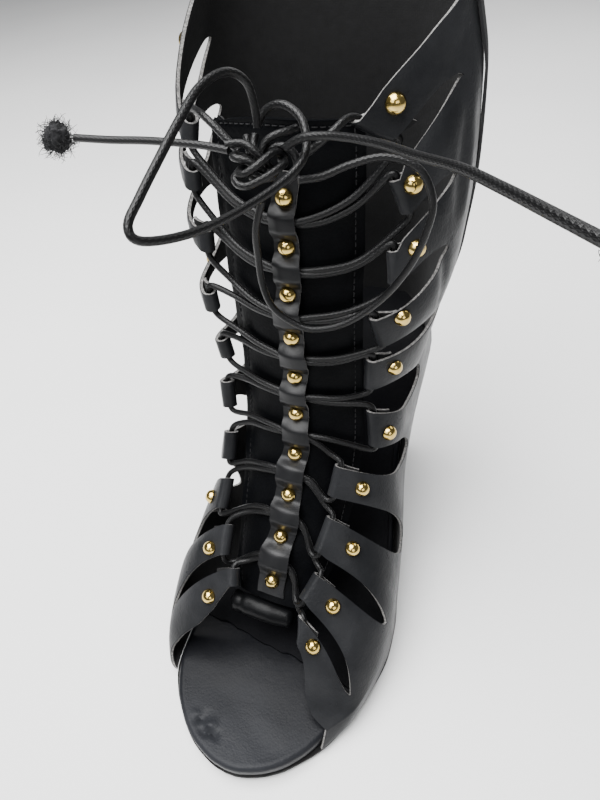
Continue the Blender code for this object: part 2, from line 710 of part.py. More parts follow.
# ---------------------------------------------------------------- tongue, spine strap and toe roll
# Crown line of the tongue: one row under each stud of the spine strap, and one at each end. half, medial: how
# far it reaches to the lateral and the medial side. curl: how far its edges fall back. strap: the spine's width.
TONGUE = table("stud x y z half medial curl strap", [
    (0, -8.0, 52.5, 36.0, 12.5, 12.5, 2.0, 11.6),
    (1, -9.0, 63.0, 45.0, 20.0, 20.0, 6.0, 11.6),
    (2, -9.5, 77.0, 59.0, 24.0, 24.0, 8.5, 11.4),
    (3, -10.0, 89.5, 72.5, 25.5, 26.5, 9.5, 11.2),
    (4, -10.5, 101.0, 87.0, 26.0, 28.5, 9.5, 10.8),
    (5, -11.3, 108.0, 104.5, 25.2, 29.0, 9.5, 10.3),
    (6, -12.0, 112.0, 121.5, 24.6, 29.0, 9.5, 9.8),
    (7, -12.5, 114.0, 139.5, 24.4, 29.5, 9.5, 9.4),
    (8, -13.0, 116.0, 157.5, 24.4, 30.0, 9.5, 9.0),
    (9, -13.5, 120.0, 174.0, 24.4, 31.5, 9.5, 8.7),
    (10, -14.0, 123.0, 190.5, 24.4, 32.0, 9.0, 8.4),
    (11, -14.0, 125.0, 203.5, 24.0, 31.5, 9.0, 8.4),
    (12, -14.0, 126.2, 213.6, 23.0, 30.5, 8.5, 8.4),
])
TONGUE_FROM = 0.38
TONGUE_DROP = 0.40           # how many stations lower the tongue's top edge ends at its medial corner


def tongue_frame(stud):
    """Crown point, the way up along the crown, and the way out of the shoe."""
    def crown(s):
        return Vector(tuple(smooth(TONGUE, "stud", name, s) for name in ("x", "y", "z")))
    low, high = max(stud - 0.1, 0.0), min(stud + 0.1, 12.0)
    along = (crown(high) - crown(low)).normalized()
    out = along.cross(Vector((1.0, 0.0, 0.0))).normalized()
    return crown(stud), along, -out if out.z < -abs(out.y) or out.y > 0.0 else out


def on_tongue(stud, across, lift=0.0):
    """Top of the tongue: across is in mm from its crown line, lift is how far off it."""
    crown, along, out = tongue_frame(stud)
    half = smooth(TONGUE, "stud", "half" if across > 0.0 else "medial", stud)
    curl = smooth(TONGUE, "stud", "curl", stud)
    u = across / half
    bend = Vector((across, 0.0, 0.0)) - out * curl * u * u
    lean = 2.0 * curl * u / half
    normal = (out + Vector((lean, 0.0, 0.0))).normalized()
    return crown + bend + normal * lift


def tongue_drop(stud, u):
    """Near the tongue's top its medial corner is cut lower."""
    return TONGUE_DROP * u * u * min(max(stud - 11.0, 0.0), 1.0) if u < 0.0 else 0.0


def build_tongue():
    stations, across = 20, 6
    points = []
    for i in range(stations + 1):
        stud = TONGUE_FROM + (12.0 - TONGUE_FROM) * i / stations
        trim = 2.0 if i == stations else 0.0
        for k in range(across + 1):
            u = 2.0 * k / across - 1.0
            reach = smooth(TONGUE, "stud", "half" if u > 0.0 else "medial", stud) - trim
            points.append(on_tongue(stud - tongue_drop(stud, u), reach * u))
    faces = grid_faces(stations + 1, across + 1)
    add_object("tongue", shell(points, faces, TONGUE_WALL))


def build_toe_roll():
    """Padded roll along the front edge of the tongue, lying across the toe opening."""
    bm = bmesh.new()
    half_length, deep, tall = 14.8, 4.5, 3.8
    crown, along, out = tongue_frame(TONGUE_FROM)
    middle = crown - along * (deep + 0.9) - out * 1.6 - Vector((4.0, 0.0, 0.0))
    rings = []
    for i in range(9):
        u = -1.0 + 2.0 * i / 8
        size = max(1.0 - abs(u) ** 5 * 0.45, 0.3)
        ring = []
        for k in range(10):
            a = 2.0 * math.pi * k / 10
            point = (middle + Vector((u * half_length, 0.0, 0.0)) - out * 2.0 * u * u
                     + along * deep * size * math.cos(a) + out * tall * size * math.sin(a))
            ring.append(bm.verts.new(at(point)))
        rings.append(ring)
    for a, b in zip(rings, rings[1:]):
        for k in range(10):
            bm.faces.new([a[k], a[(k + 1) % 10], b[(k + 1) % 10], b[k]])
    bm.faces.new(rings[0])
    bm.faces.new(rings[-1])
    add_object("toe_roll", bm, 50.0)


def spine_lift(stud):
    """How far the spine strap's underside stands off the tongue: down flat at each stud, up between them."""
    off = abs(stud - round(stud))
    rise = min(max((off - 0.18) / 0.16, 0.0), 1.0)
    inside = 1.0 if 1.0 < stud < 10.0 else 0.0
    return GAP + 0.15 + HUMP * inside * 0.5 * (1.0 - math.cos(math.pi * rise))


def build_spine_strap():
    points = []
    stations = [0.60] + [n + part for n in range(1, 11) for part in (0.0, 0.18, 0.28, 0.5, 0.72, 0.82)][:-4] + [10.6]
    for stud in stations:
        for across in (-0.5, 0.0, 0.5):
            wide = smooth(TONGUE, "stud", "strap", stud)
            points.append(on_tongue(stud, across * wide, spine_lift(stud) + SPINE_WALL))
    faces = grid_faces(len(stations), 3)
    add_object("spine_strap", shell(points, faces, SPINE_WALL))


# ---------------------------------------------------------------- studs
def add_stud(name, base, normal):
    """Domed stud, standing on the leather at base."""
    bm = bmesh.new()
    normal = normal.normalized()
    side = normal.orthogonal().normalized()
    other = normal.cross(side)
    sides = 8
    rings = []
    for reach, height in ((0.94, 0.0), (1.0, 0.30), (0.66, 0.82)):
        ring = []
        for k in range(sides):
            a = 2.0 * math.pi * k / sides
            spot = base + (side * math.cos(a) + other * math.sin(a)) * reach * STUD / 2.0
            ring.append(bm.verts.new(at(spot + normal * (GAP + height * STUD_HEIGHT))))
        rings.append(ring)
    top = bm.verts.new(at(base + normal * (GAP + STUD_HEIGHT)))
    for a, b in zip(rings, rings[1:]):
        for k in range(sides):
            bm.faces.new([a[k], a[(k + 1) % sides], b[(k + 1) % sides], b[k]])
    for k in range(sides):
        bm.faces.new([rings[-1][k], rings[-1][(k + 1) % sides], top])
    bm.faces.new(rings[0])
    add_object(name, bm, 60.0)


def strap_stud(side, index):
    """Place of a strap's stud and the way it faces."""
    strap = STRAPS[side][index]
    front = strap_point(side, index, strap["up"], 0.0)[1]
    back = strap_point(side, index, strap["up"], 1.0)[1]
    row, reach = strap_point(side, index, strap["up"], (strap["stud"] - front) / (back - front))
    return on_upper(row, side, reach), upper_normal(row, side, reach)


def build_studs():
    for side, word in ((1, "lateral"), (-1, "medial")):
        for index, strap in enumerate(STRAPS[side]):
            base, normal = strap_stud(side, index)
            add_stud("stud_%s_%d" % (word, strap["strap"]), base, normal)
    for number in range(1, 11):
        base = on_tongue(number, 0.0, spine_lift(number) + SPINE_WALL)
        add_stud("stud_spine_%d" % number, base, tongue_frame(number)[2])


# ---------------------------------------------------------------- lace
def loop_mouth(side, index, upper_edge, beyond):
    """Middle of a loop's open end, moved out past the strap's edge by `beyond` mm."""
    row, reach = strap_point(side, index, 1.0 if upper_edge else 0.0, 0.0)
    middle, middle_reach = strap_point(side, index, 0.5, 0.0)
    spot = on_upper(row, side, reach) - upper_normal(row, side, reach) * LOOP
    inside = on_upper(middle, side, middle_reach) - upper_normal(middle, side, middle_reach) * LOOP
    return spot + (spot - inside).normalized() * beyond


def tongue_station(point):
    """Place along the tongue's crown that is nearest to a point."""
    return min((k * 0.1 for k in range(121)), key=lambda s: (tongue_frame(s)[0] - point).length)


def lace_half(centre, lean, side, mouth):
    """Route of a lace run from under the spine strap to a loop's mouth, over the tongue."""
    reach = abs(mouth.x - tongue_frame(centre)[0].x)
    station = tongue_station(mouth)
    lift = CORD / 2.0 + 0.6
    route = []
    for across in (8.0, 16.0, 23.0):
        if across == 8.0 or across < reach - 9.5:
            where = centre + lean + (station - centre - lean) * (across / reach) ** 2.4
            route.append(on_tongue(where, side * across, lift + 0.3 * across / 8.0))
    if reach < 24.0:
        route.append(on_tongue(station, side * (reach - 6.0), lift + 0.8).lerp(mouth, 0.15))
    return route + [mouth]


def clear_mouth(side, index, upper_edge):
    """A loop's mouth, moved out by up to half the way to the next loop."""
    neighbour = loop_mouth(side, index + 1 if upper_edge else index - 1, not upper_edge, 0.0)
    gap = (neighbour - loop_mouth(side, index, upper_edge, 0.0)).length
    return loop_mouth(side, index, upper_edge, min(3.0, (0.42 if upper_edge else 0.64) * gap))


def build_crossings():
    """One solid for each crossing: the two lace runs that pass under the spine strap between two studs."""
    for gap in range(1, 10):
        index, centre = gap - 1, gap + 0.5
        meshes = []
        for side in (1, -1):
            upper_half = lace_half(centre, 0.05, side, clear_mouth(side, index + 1, False))
            lower_half = lace_half(centre, -0.05, -side, clear_mouth(-side, index, True))
            middle = [on_tongue(centre, 0.0, CORD / 2.0 + 0.45)]
            bm = tube(upper_half[::-1] + middle + lower_half, CORD, 5)
            bmesh.ops.recalc_face_normals(bm, faces=bm.faces[:])
            mesh = bpy.data.meshes.new("run")
            bm.to_mesh(mesh)
            bm.free()
            meshes.append(mesh)
        join_meshes("lace_crossing_%d" % (10 - gap), meshes)


def join_meshes(name, meshes):
    """Boolean union of two closed meshes as one object."""
    first = bpy.data.objects.new(name + "_a", meshes[0])
    second = bpy.data.objects.new(name + "_b", meshes[1])
    for obj in (first, second):
        bpy.context.scene.collection.objects.link(obj)
    boolean = first.modifiers.new("union", "BOOLEAN")
    boolean.operation = "UNION"
    boolean.solver = "EXACT"
    boolean.object = second
    graph = bpy.context.evaluated_depsgraph_get()
    joined = bpy.data.meshes.new_from_object(first.evaluated_get(graph))
    for obj in (first, second):
        bpy.data.objects.remove(obj)
    joined.name = name
    add_object(name, joined, 60.0)


# Free lace: each route runs from beside the knot. Millimetres of the shoe's frame.
KNOT = (-14.0, 112.0, 206.0)
KNOT_HALF = (7.0, 4.5, 7.0)
TUFT = (-84.0, 103.0, 212.0)
TUFT_HALF = (5.8, 5.0, 5.0)
ROUTES = {
    "lace_left_loop": [
        (-16, 113, 216), (-16.5, 114, 221), (-18, 113.5, 228), (-21, 108.5, 232), (-24, 99, 231), (-24, 87, 227),
        (-24, 75, 222), (-24.5, 65, 217), (-24.5, 58, 213), (-21.5, 58, 209.5), (-15, 69, 206.5), (-9.5, 86, 205),
        (-3, 102, 207), (-0.5, 111, 211), (-4, 118, 217), (-11, 121, 220), (-17, 121, 218), (-19, 118.5, 214)],
    "lace_right_loop": [
        (-4, 112, 202), (2, 116, 202), (9, 121, 204), (19, 124, 206), (29, 125, 203), (34, 124, 194),
        (33, 122, 184), (29, 120, 173), (21, 117, 161), (10, 111.5, 152.5), (-1, 107.5, 150), (-9, 106.5, 152.5),
        (-15.5, 106.5, 157.5), (-19, 108, 165), (-20, 109.5, 174), (-20, 110.5, 184), (-17.5, 112.5, 193.5)],
    "lace_left_end": [(-25, 110, 210), (-35, 109.5, 211), (-51, 108, 211.5), (-65, 106, 211.5), (-77, 104, 212)],
    "lace_right_end": [
        (-5.5, 108.5, 213), (0, 109, 216), (10, 108, 217.5), (24, 101, 219.5), (37, 90, 222), (49, 78, 225.5),
        (59, 66, 228), (68, 55, 230), (78, 45, 231)],
    "lace_left_lead": [(-38, 119.5, 216), (-31, 117, 212), (-25, 115.5, 207.5)],
    "lace_right_lead": [(5, 123, 214), (0, 118.5, 210), (-4.5, 116.5, 207)],
}


def build_free_lace():
    """The knot, the bow's loops, its two ends and the tuft at the left one."""
    for name, route in ROUTES.items():
        points = [Vector(point) for point in route]
        if name == "lace_left_lead":
            points = [loop_mouth(-1, 9, True, 3.0)] + points
        if name == "lace_right_lead":
            points = [loop_mouth(1, 9, True, 3.0)] + points
        line = spline(points, 4)
        lengths = running(line)
        count = max(4, round(lengths[-1] / (2.9 * CORD)))
        even = []
        for k in range(count + 1):
            want = lengths[-1] * k / count
            i = max(n for n in range(len(lengths) - 1) if lengths[n] <= want + 1e-6)
            even.append(line[i].lerp(line[i + 1], (want - lengths[i]) / (lengths[i + 1] - lengths[i])))
        curve = bpy.data.curves.new(name, "CURVE")
        curve.dimensions = "3D"
        curve.bevel_depth = CORD * MM / 2.0
        curve.bevel_resolution = 2
        curve.use_fill_caps = True
        path = curve.splines.new("POLY")
        path.points.add(len(even) - 1)
        for target, point in zip(path.points, even):
            target.co = (*at(point), 1.0)
        add_curve(name, curve)
    add_ball("lace_knot", KNOT, KNOT_HALF)
    add_ball("lace_tuft", TUFT, TUFT_HALF)


def add_ball(name, centre, half):
    bm = bmesh.new()
    bmesh.ops.create_icosphere(bm, subdivisions=2, radius=1.0)
    for v in bm.verts:
        v.co = at([c + h * x for c, h, x in zip(centre, half, v.co)])
    add_object(name, bm, 60.0)


# ---------------------------------------------------------------- the boot
BLACK = (0.035, 0.034, 0.036)
LOOKS = {
    "outsole": ((0.03, 0.03, 0.03), 0.6, 0.0),
    "footbed": (BLACK, 0.5, 0.0),
    "sock_lining": ((0.045, 0.045, 0.047), 0.65, 0.0),
    "heel": (BLACK, 0.45, 0.0),
    "heel_tip": ((0.02, 0.02, 0.02), 0.7, 0.0),
    "upper": (BLACK, 0.45, 0.0),
    "side_strip": ((0.02, 0.02, 0.022), 0.5, 0.0),
    "tongue": (BLACK, 0.5, 0.0),
    "toe_roll": (BLACK, 0.45, 0.0),
    "spine_strap": (BLACK, 0.45, 0.0),
    "stud_lateral": ((0.80, 0.58, 0.25), 0.2, 1.0),
    "stud_medial": ((0.80, 0.58, 0.25), 0.2, 1.0),
    "stud_spine": ((0.80, 0.58, 0.25), 0.2, 1.0),
    "lace_crossing": ((0.03, 0.03, 0.032), 0.7, 0.0),
    "lace_knot": ((0.03, 0.03, 0.032), 0.7, 0.0),
    "lace_tuft": ((0.03, 0.03, 0.032), 0.8, 0.0),
    "lace_left_lead": ((0.03, 0.03, 0.032), 0.7, 0.0),
    "lace_right_lead": ((0.03, 0.03, 0.032), 0.7, 0.0),
    "lace_left_loop": ((0.03, 0.03, 0.032), 0.7, 0.0),
    "lace_right_loop": ((0.03, 0.03, 0.032), 0.7, 0.0),
    "lace_left_end": ((0.03, 0.03, 0.032), 0.7, 0.0),
    "lace_right_end": ((0.03, 0.03, 0.032), 0.7, 0.0),
}

for old in list(bpy.data.objects):
    bpy.data.objects.remove(old)
BOOT = bpy.data.collections.new("open_toe_ankle_boot")
bpy.context.scene.collection.children.link(BOOT)

build_sole()
build_heel()
build_upper()
build_side_strip()
build_tongue()
build_toe_roll()
build_spine_strap()
build_studs()
build_crossings()
build_free_lace()
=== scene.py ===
import bisect
import functools
import math
import random

import bmesh
import bpy
from mathutils import Matrix, Vector, noise


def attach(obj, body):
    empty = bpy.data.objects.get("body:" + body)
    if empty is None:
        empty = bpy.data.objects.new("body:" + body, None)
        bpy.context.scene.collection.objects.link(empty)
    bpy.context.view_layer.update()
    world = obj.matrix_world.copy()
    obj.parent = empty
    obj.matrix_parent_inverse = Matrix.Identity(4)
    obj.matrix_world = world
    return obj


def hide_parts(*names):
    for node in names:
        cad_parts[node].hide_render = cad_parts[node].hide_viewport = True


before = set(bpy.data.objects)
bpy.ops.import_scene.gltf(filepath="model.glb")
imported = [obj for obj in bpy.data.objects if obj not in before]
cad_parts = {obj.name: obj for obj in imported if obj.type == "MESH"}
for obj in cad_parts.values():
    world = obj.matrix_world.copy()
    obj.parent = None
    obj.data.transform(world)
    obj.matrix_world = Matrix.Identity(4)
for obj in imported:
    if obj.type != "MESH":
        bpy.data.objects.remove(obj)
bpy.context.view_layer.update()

# ---- driving dimensions (mm)
MM = 0.001
ORIGIN_X = -10.2  # middle of the box, from the heel's centre line
ORIGIN_Y = 101.4  # middle of the box, behind the toe tip
GAP = 0.3  # air left between two pieces that touch

OUTSOLE = 3  # thickness of the outsole
BOARD = 6.2  # thickness of the covered footbed
SOCK = 1  # thickness of the sock lining
WALL = 1.3  # thickness of the upper's leather
TONGUE_WALL = 1.8  # thickness of the padded tongue
SPINE_WALL = 1.2  # thickness of the studded strap down the tongue
HUMP = 3.6  # how far that strap stands off the tongue between its studs
CORD = 2.4  # diameter of the round lace
STUD = 6.5  # diameter of a stud
STUD_HEIGHT = 2.6
STUD_SUNK = 0.35  # how far a stud's foot is pressed in
LOOP = 3.2  # outside radius of the folded lace loop at a strap's end
LEG = 8  # length of the leg folded back under the strap
BREAST = 160  # y of the heel's front face at the seat
SEAM_X = 1  # the back seam, from the heel's centre line
HEEL_ROW = 5.3  # row of the upper at which its base turns up the back seam


def at(point):
    """A point of the shoe's frame, in metres about the origin."""
    return Vector(((point[0] - ORIGIN_X) * MM, (point[1] - ORIGIN_Y) * MM, point[2] * MM))


def table(columns, rows):
    """A list of rows with named columns."""
    names = columns.split()
    return [dict(zip(names, row)) for row in rows]


def mix(a, b, t):
    return a + (b - a) * t


def smoothstep(t):
    t = min(max(t, 0), 1)
    return t * t * (3 - 2 * t)


def smooth(rows, key, name, value):
    """Cubic through a table's column `name` over its column `key`, with no overshoot."""
    xs, ys = ([row[column] for row in rows] for column in (key, name))
    last = len(xs) - 1
    rates = [(ys[k + 1] - ys[k]) / (xs[k + 1] - xs[k]) for k in range(last)]

    def slope(k):
        if k in (0, last):
            return rates[min(k, last - 1)]
        before, after = rates[k - 1:k + 1]
        return 2 * before * after / (before + after) if before * after > 0 else 0

    value = min(max(value, xs[0]), xs[-1])
    i = max(k for k in range(last) if xs[k] <= value)
    width = xs[i + 1] - xs[i]
    t = (value - xs[i]) / width
    a, b = slope(i) * width, slope(i + 1) * width
    return ((2 * t**3 - 3 * t**2 + 1) * ys[i] + (t**3 - 2 * t**2 + t) * a
            + (-2 * t**3 + 3 * t**2) * ys[i + 1] + (t**3 - t**2) * b)


# ---- the last: sole outline and profile
# Top of the footbed and its two edges, from the toe tip to the back of the heel seat.
FOOTBED = table("y top medial lateral", [
    (-3, 12, -5, -5), (-2.6, 11.9, -10, -0.9), (-1.5, 11.8, -14.5, 3), (2, 11.4, -23, 10.5),
    (8, 10.8, -31, 18), (18, 10.2, -39.5, 25.5), (32, 9.8, -45.5, 31.8), (50, 9.5, -47.5, 37.5),
    (66, 9.5, -46.5, 40), (80, 10.8, -42, 39), (95, 16.8, -34, 35.5), (110, 28, -26.5, 31),
    (125, 42.5, -21.5, 27), (140, 58.5, -19.5, 25), (155, 75.5, -20, 24.3), (168, 89, -22, 25),
    (180, 97, -22.5, 24.5), (191, 101, -19.5, 20.5), (199, 102.8, -11.5, 12.5), (203, 103.5, 1, 1)])
TOE_Y, HEEL_Y = FOOTBED[0]["y"], FOOTBED[-1]["y"]


def footbed_top(y):
    return smooth(FOOTBED, "y", "top", y)


def footbed_under(y):
    return footbed_top(y) - BOARD


def side_name(side):
    return "lateral" if side > 0 else "medial"


def sole_edge(y, side):
    """x of the footbed's edge: side is +1 for lateral, -1 for medial."""
    return smooth(FOOTBED, "y", side_name(side), y)


def beside_sole(y, side, out, step):
    """x and y of a place `out` mm off the footbed's edge, square to it."""
    slope = (sole_edge(y + step, side) - sole_edge(y - step, side)) / (2 * step)
    size = math.hypot(1, slope)
    return sole_edge(y, side) + side * out / size, y - side * out * slope / size


# ---- the upper's surface
# Rows run from the toe opening (0) to above the collar (11); a slot lies along each whole row from 1 to 9.
# crown_*: the top line over the instep. base_y: where the row meets the sole. back_z: its height on the seam.
# lateral, medial: x of the widest points. belly: how far up the row they are. full: squareness of the medial
# shoulder, where 2 is an ellipse. sag: how far the lateral shoulder is pressed in.
ROWS = table("row crown_x crown_y crown_z base_y back_z lateral medial belly full sag", [
    (0, -8, 44.5, 42.5, 20, 97, 28.6, -45.5, 0.21, 1.6, 13),
    (1, -8.5, 54.5, 49, 34, 97, 38, -55, 0.24, 2, 1.5),
    (2, -9, 69, 60.8, 62, 97, 42, -59.5, 0.3, 2.2, 0),
    (3, -9.8, 84.7, 77.5, 112, 97, 36.2, -54.5, 0.36, 2.4, 0),
    (4, -10.5, 95.5, 94, 146, 97, 28.8, -51, 0.5, 3, 0),
    (5, -11.2, 104, 115, 176, 97, 28.2, -53.5, 0.58, 3.4, 0),
    (5.1, -11.3, 104.4, 116.6, 189.5, 97, 28.3, -53.7, 0.58, 3.4, 0),
    (5.2, -11.3, 104.9, 118.3, 199.4, 97, 28.5, -53.9, 0.58, 3.5, 0),
    (5.3, -11.4, 105.3, 120, 203, 97, 28.7, -54.1, 0.58, 3.6, 0),
    (6, -11.8, 108.3, 131, 203, 139, 33.6, -57, 0.54, 4, 0),
    (7, -12.3, 111, 149, 203, 168, 38.5, -59, 0.5, 4.4, 0),
    (8, -12.8, 115.5, 170, 203, 200, 40, -60.5, 0.48, 4.4, 0),
    (9, -13.2, 119.5, 191, 203, 233, 38.6, -61, 0.48, 4.4, 0),
    (10, -13.5, 121.5, 208, 203, 262, 33.2, -59, 0.48, 4, 0),
    (11, -13.5, 122.5, 236, 203, 292, 29.8, -57, 0.48, 2.6, 0),
])
# The back seam: over the heel seat, in at the ankle, out a little at the collar.
SEAM = table("z y", [
    (97, 205.4), (112, 206), (130, 204), (155, 198.5), (180, 195), (210, 194.5), (250, 197), (290, 199)])


@functools.cache
def of_row(name, row):
    return smooth(ROWS, "row", name, row)


def base_point(row, side):
    """Where a row of the upper ends: at the sole's edge, or on the back seam."""
    if row < HEEL_ROW:
        y = of_row("base_y", row)
        return *beside_sole(y, side, WALL + GAP + 0.4, 1), footbed_under(y) + GAP
    z = of_row("back_z", row)
    return SEAM_X, smooth(SEAM, "z", "y", z), z


@functools.cache
def section(row, side):
    """Points of one row from the crown to its base, in the plane that holds both and the x axis."""
    xb, yb, zb = base_point(row, side)
    xc, yc, zc = of_row("crown_x", row), of_row("crown_y", row), of_row("crown_z", row)
    wide = of_row(side_name(side), row)
    wide = max(wide, xb) if side > 0 else min(wide, xb)
    belly = of_row("belly", row)
    power = 2 / (2 if side > 0 else of_row("full", row))
    sag = of_row("sag", row) if side > 0 else 0
    steps = 56
    points = []
    for i in range(steps + 1):
        turn = math.pi * i / steps
        c, s = math.cos(turn), math.sin(turn)
        if i * 2 <= steps:
            x, r = xc + (wide - xc) * s**power, belly + (1 - belly) * max(c, 0) ** power
            x -= sag * s**2.1 * (1 - (2 * i / steps) ** 10)
        else:
            x, r = xb + (wide - xb) * s, belly * (1 + c)
        points.append(Vector((x, yb + (yc - yb) * r, zb + (zc - zb) * r)))
    return points


def running(points):
    """Running length along a list of points."""
    lengths = [0]
    for a, b in zip(points, points[1:]):
        lengths.append(lengths[-1] + (b - a).length)
    return lengths


@functools.cache
def girths(row, side):
    return running(section(row, side))


def point_along(points, lengths, reach):
    """The point at a running length along a line."""
    i = min(max(bisect.bisect_right(lengths, reach) - 1, 0), len(lengths) - 2)
    t = (reach - lengths[i]) / max(lengths[i + 1] - lengths[i], 1e-9)
    return points[i].lerp(points[i + 1], min(t, 1))


def on_upper(row, side, reach):
    """The upper's outer surface: reach is the girth from the crown."""
    lengths = girths(row, side)
    return point_along(section(row, side), lengths, min(max(reach, 0), lengths[-1]))


def upper_normal(row, side, reach):
    """Outward direction of that surface."""
    along = on_upper(row + 0.08, side, reach) - on_upper(row - 0.08, side, reach)
    across = on_upper(row, side, reach + 1.5) - on_upper(row, side, max(reach - 1.5, 0))
    return (across.cross(along) * side).normalized()


# Straps of one side in order from the toe (10) to the collar (1). low, high: rows of the two front corners.
# low_reach, high_reach: how far from the crown those corners lie. stud: how far from the crown its stud is,
# and up: how far up the strap. fill: how many rows its upper edge rises into the slot behind the loop.
# hang: how many rows its lower edge bulges down into the slot below.
STRAPS = {
    1: table("strap low high low_reach high_reach stud up fill hang", [
        (10, 0.15, 0.8, 18.5, 15.5, 26.4, 0.62, 0, 0),
        (9, 1.25, 1.85, 14, 18, 29.6, 0.58, 0, 0.16),
        (8, 2.25, 2.85, 16, 19, 32.5, 0.6, 0, 0.1),
        (7, 3.25, 3.85, 18, 19.5, 32, 0.5, 0, 0),
        (6, 4.25, 4.85, 35, 32, 41.7, 0.43, 0, 0),
        (5, 5.25, 5.88, 31, 30, 41.8, 0.65, 0, 0),
        (4, 6.22, 6.9, 34, 30, 42.2, 0.8, 0, 0),
        (3, 7.45, 7.98, 37, 35.5, 45.5, 0.5, 0.25, 0),
        (2, 8.45, 8.98, 40, 35, 42.6, 0.48, 0.45, 0),
        (1, 9.64, 10.1, 34, 22, 36.4, 0.62, 0, 0),
    ]),
    -1: table("strap low high low_reach high_reach stud up fill hang", [
        (10, 0.97, 1.39, 14, 16, 26.5, 0.43, 0, 0),
        (9, 1.65, 2.25, 23, 25, 32.2, 0.35, 0, 0),
        (8, 2.54, 3.02, 34, 35, 45, 0.5, 0, 0),
        (7, 3.36, 3.88, 37, 37, 63, 0.5, 0, 0),
        (6, 4.33, 4.8, 39, 39, 64, 0.5, 0, 0),
        (5, 5.27, 5.7, 40, 40, 65, 0.5, 0, 0),
        (4, 6.55, 6.96, 38, 38, 66, 0.5, 0, 0),
        (3, 7.84, 8.2, 33.5, 33, 65, 0.5, 0, 0),
        (2, 8.74, 9.08, 39, 38, 68, 0.5, 0, 0),
        (1, 9.6, 9.94, 38.5, 37, 71, 0.5, 0, 0),
    ]),
}
# Rounded inner ends of the slots between straps, from the toe line (0) to the collar line (10): the row on
# which each lies, how far from the crown, and the row its line ends on at the back seam.
TIPS = table("seam lateral_row lateral medial_row medial", [
    (0, 0, 48, 0.25, 50),
    (1, 0.82, 56.8, 1.05, 60),
    (2, 2.1, 62, 2.05, 70),
    (3, 3, 79, 3.1, 78),
    (4, 4, 76, 4.05, 78),
    (5, 5, 75, 5, 82),
    (6, 6.05, 76, 6.1, 90),
    (7, 7.5, 62, 7.4, 90),
    (7.9, 8.46, 62.4, 8.45, 90),
    (8.8, 9.53, 65.5, 9.35, 90),
    (9.75, 10.3, 78, 10.2, 92),
])
# Toe line: its row at parts of the way from the front corner to where the toe straps meet the sole's side.
TOE = table("part lateral medial", [
    (0, 0.15, 0.97), (0.1, 0.13, 0.66), (0.22, 0.11, 0.36), (0.5, 0.07, 0.17), (1, 0, 0.25)])
TOE_BASE = {1: 0, -1: 0.5}  # its row at the sole
# Collar line: its row at parts of the way from the front corner to the back seam.
COLLAR = table("part lateral medial", [
    (0, 10.1, 9.94), (0.03, 10.19, 9.98), (0.06, 10.28, 10.03), (0.1, 10.34, 10.08), (0.14, 10.37, 10.12),
    (0.22, 10.39, 10.2), (0.31, 10.34, 10.22), (0.45, 10.2, 10.2), (0.7, 10, 10), (1, 9.75, 9.75)])
COLLAR_SPLIT = 0.45  # part of that way at which the strap ends and the rear panel begins


def strap_edge(side, index, part, upper):
    """(row, reach) on one long edge of a strap, part of the way from its front corner to the slot's end."""
    strap, name, corner = STRAPS[side][index], side_name(side), "high" if upper else "low"
    row, tip = strap[corner], TIPS[index + 1 if upper else index]
    if index == len(TIPS) - 2 and upper:
        inner = smooth(COLLAR, "part", name, COLLAR_SPLIT * part)
    elif index == 0 and not upper:
        inner = smooth(TOE, "part", name, part)
    else:
        other = STRAPS[side][index + 1]["low"] if upper else STRAPS[side][index - 1]["high"]
        middle = (row + other) / 2
        teardrop = (1 - part**3) ** 0.6 * (1 + 0.25 * math.sin(math.pi * part))
        bulge = math.sqrt(math.sin(math.pi * min(part, 0.999)))
        inner = mix(middle, tip[name + "_row"], part) + (row - middle) * teardrop
        inner += strap["fill"] * bulge if upper else -strap["hang"] * bulge
    return inner, mix(strap[corner + "_reach"] + LOOP, tip[name], part)


def rear_row(side, index, part):
    """Row behind the slots, part of the way from the tip of slot `index` to the sole or the back seam."""
    if index == len(TIPS) - 1:
        return smooth(COLLAR, "part", side_name(side), COLLAR_SPLIT + (1 - COLLAR_SPLIT) * part)
    row = TIPS[index][side_name(side) + "_row"]
    end = TOE_BASE[side] if index == 0 else TIPS[index]["seam"] if index >= 5 else row
    return mix(row, end, part)


def strap_point(side, index, across, part):
    """(row, reach) inside a strap: across is 0 on its lower edge and 1 on its upper one."""
    low, high = (strap_edge(side, index, part, upper) for upper in (False, True))
    return tuple(mix(a, b, across) for a, b in zip(low, high))


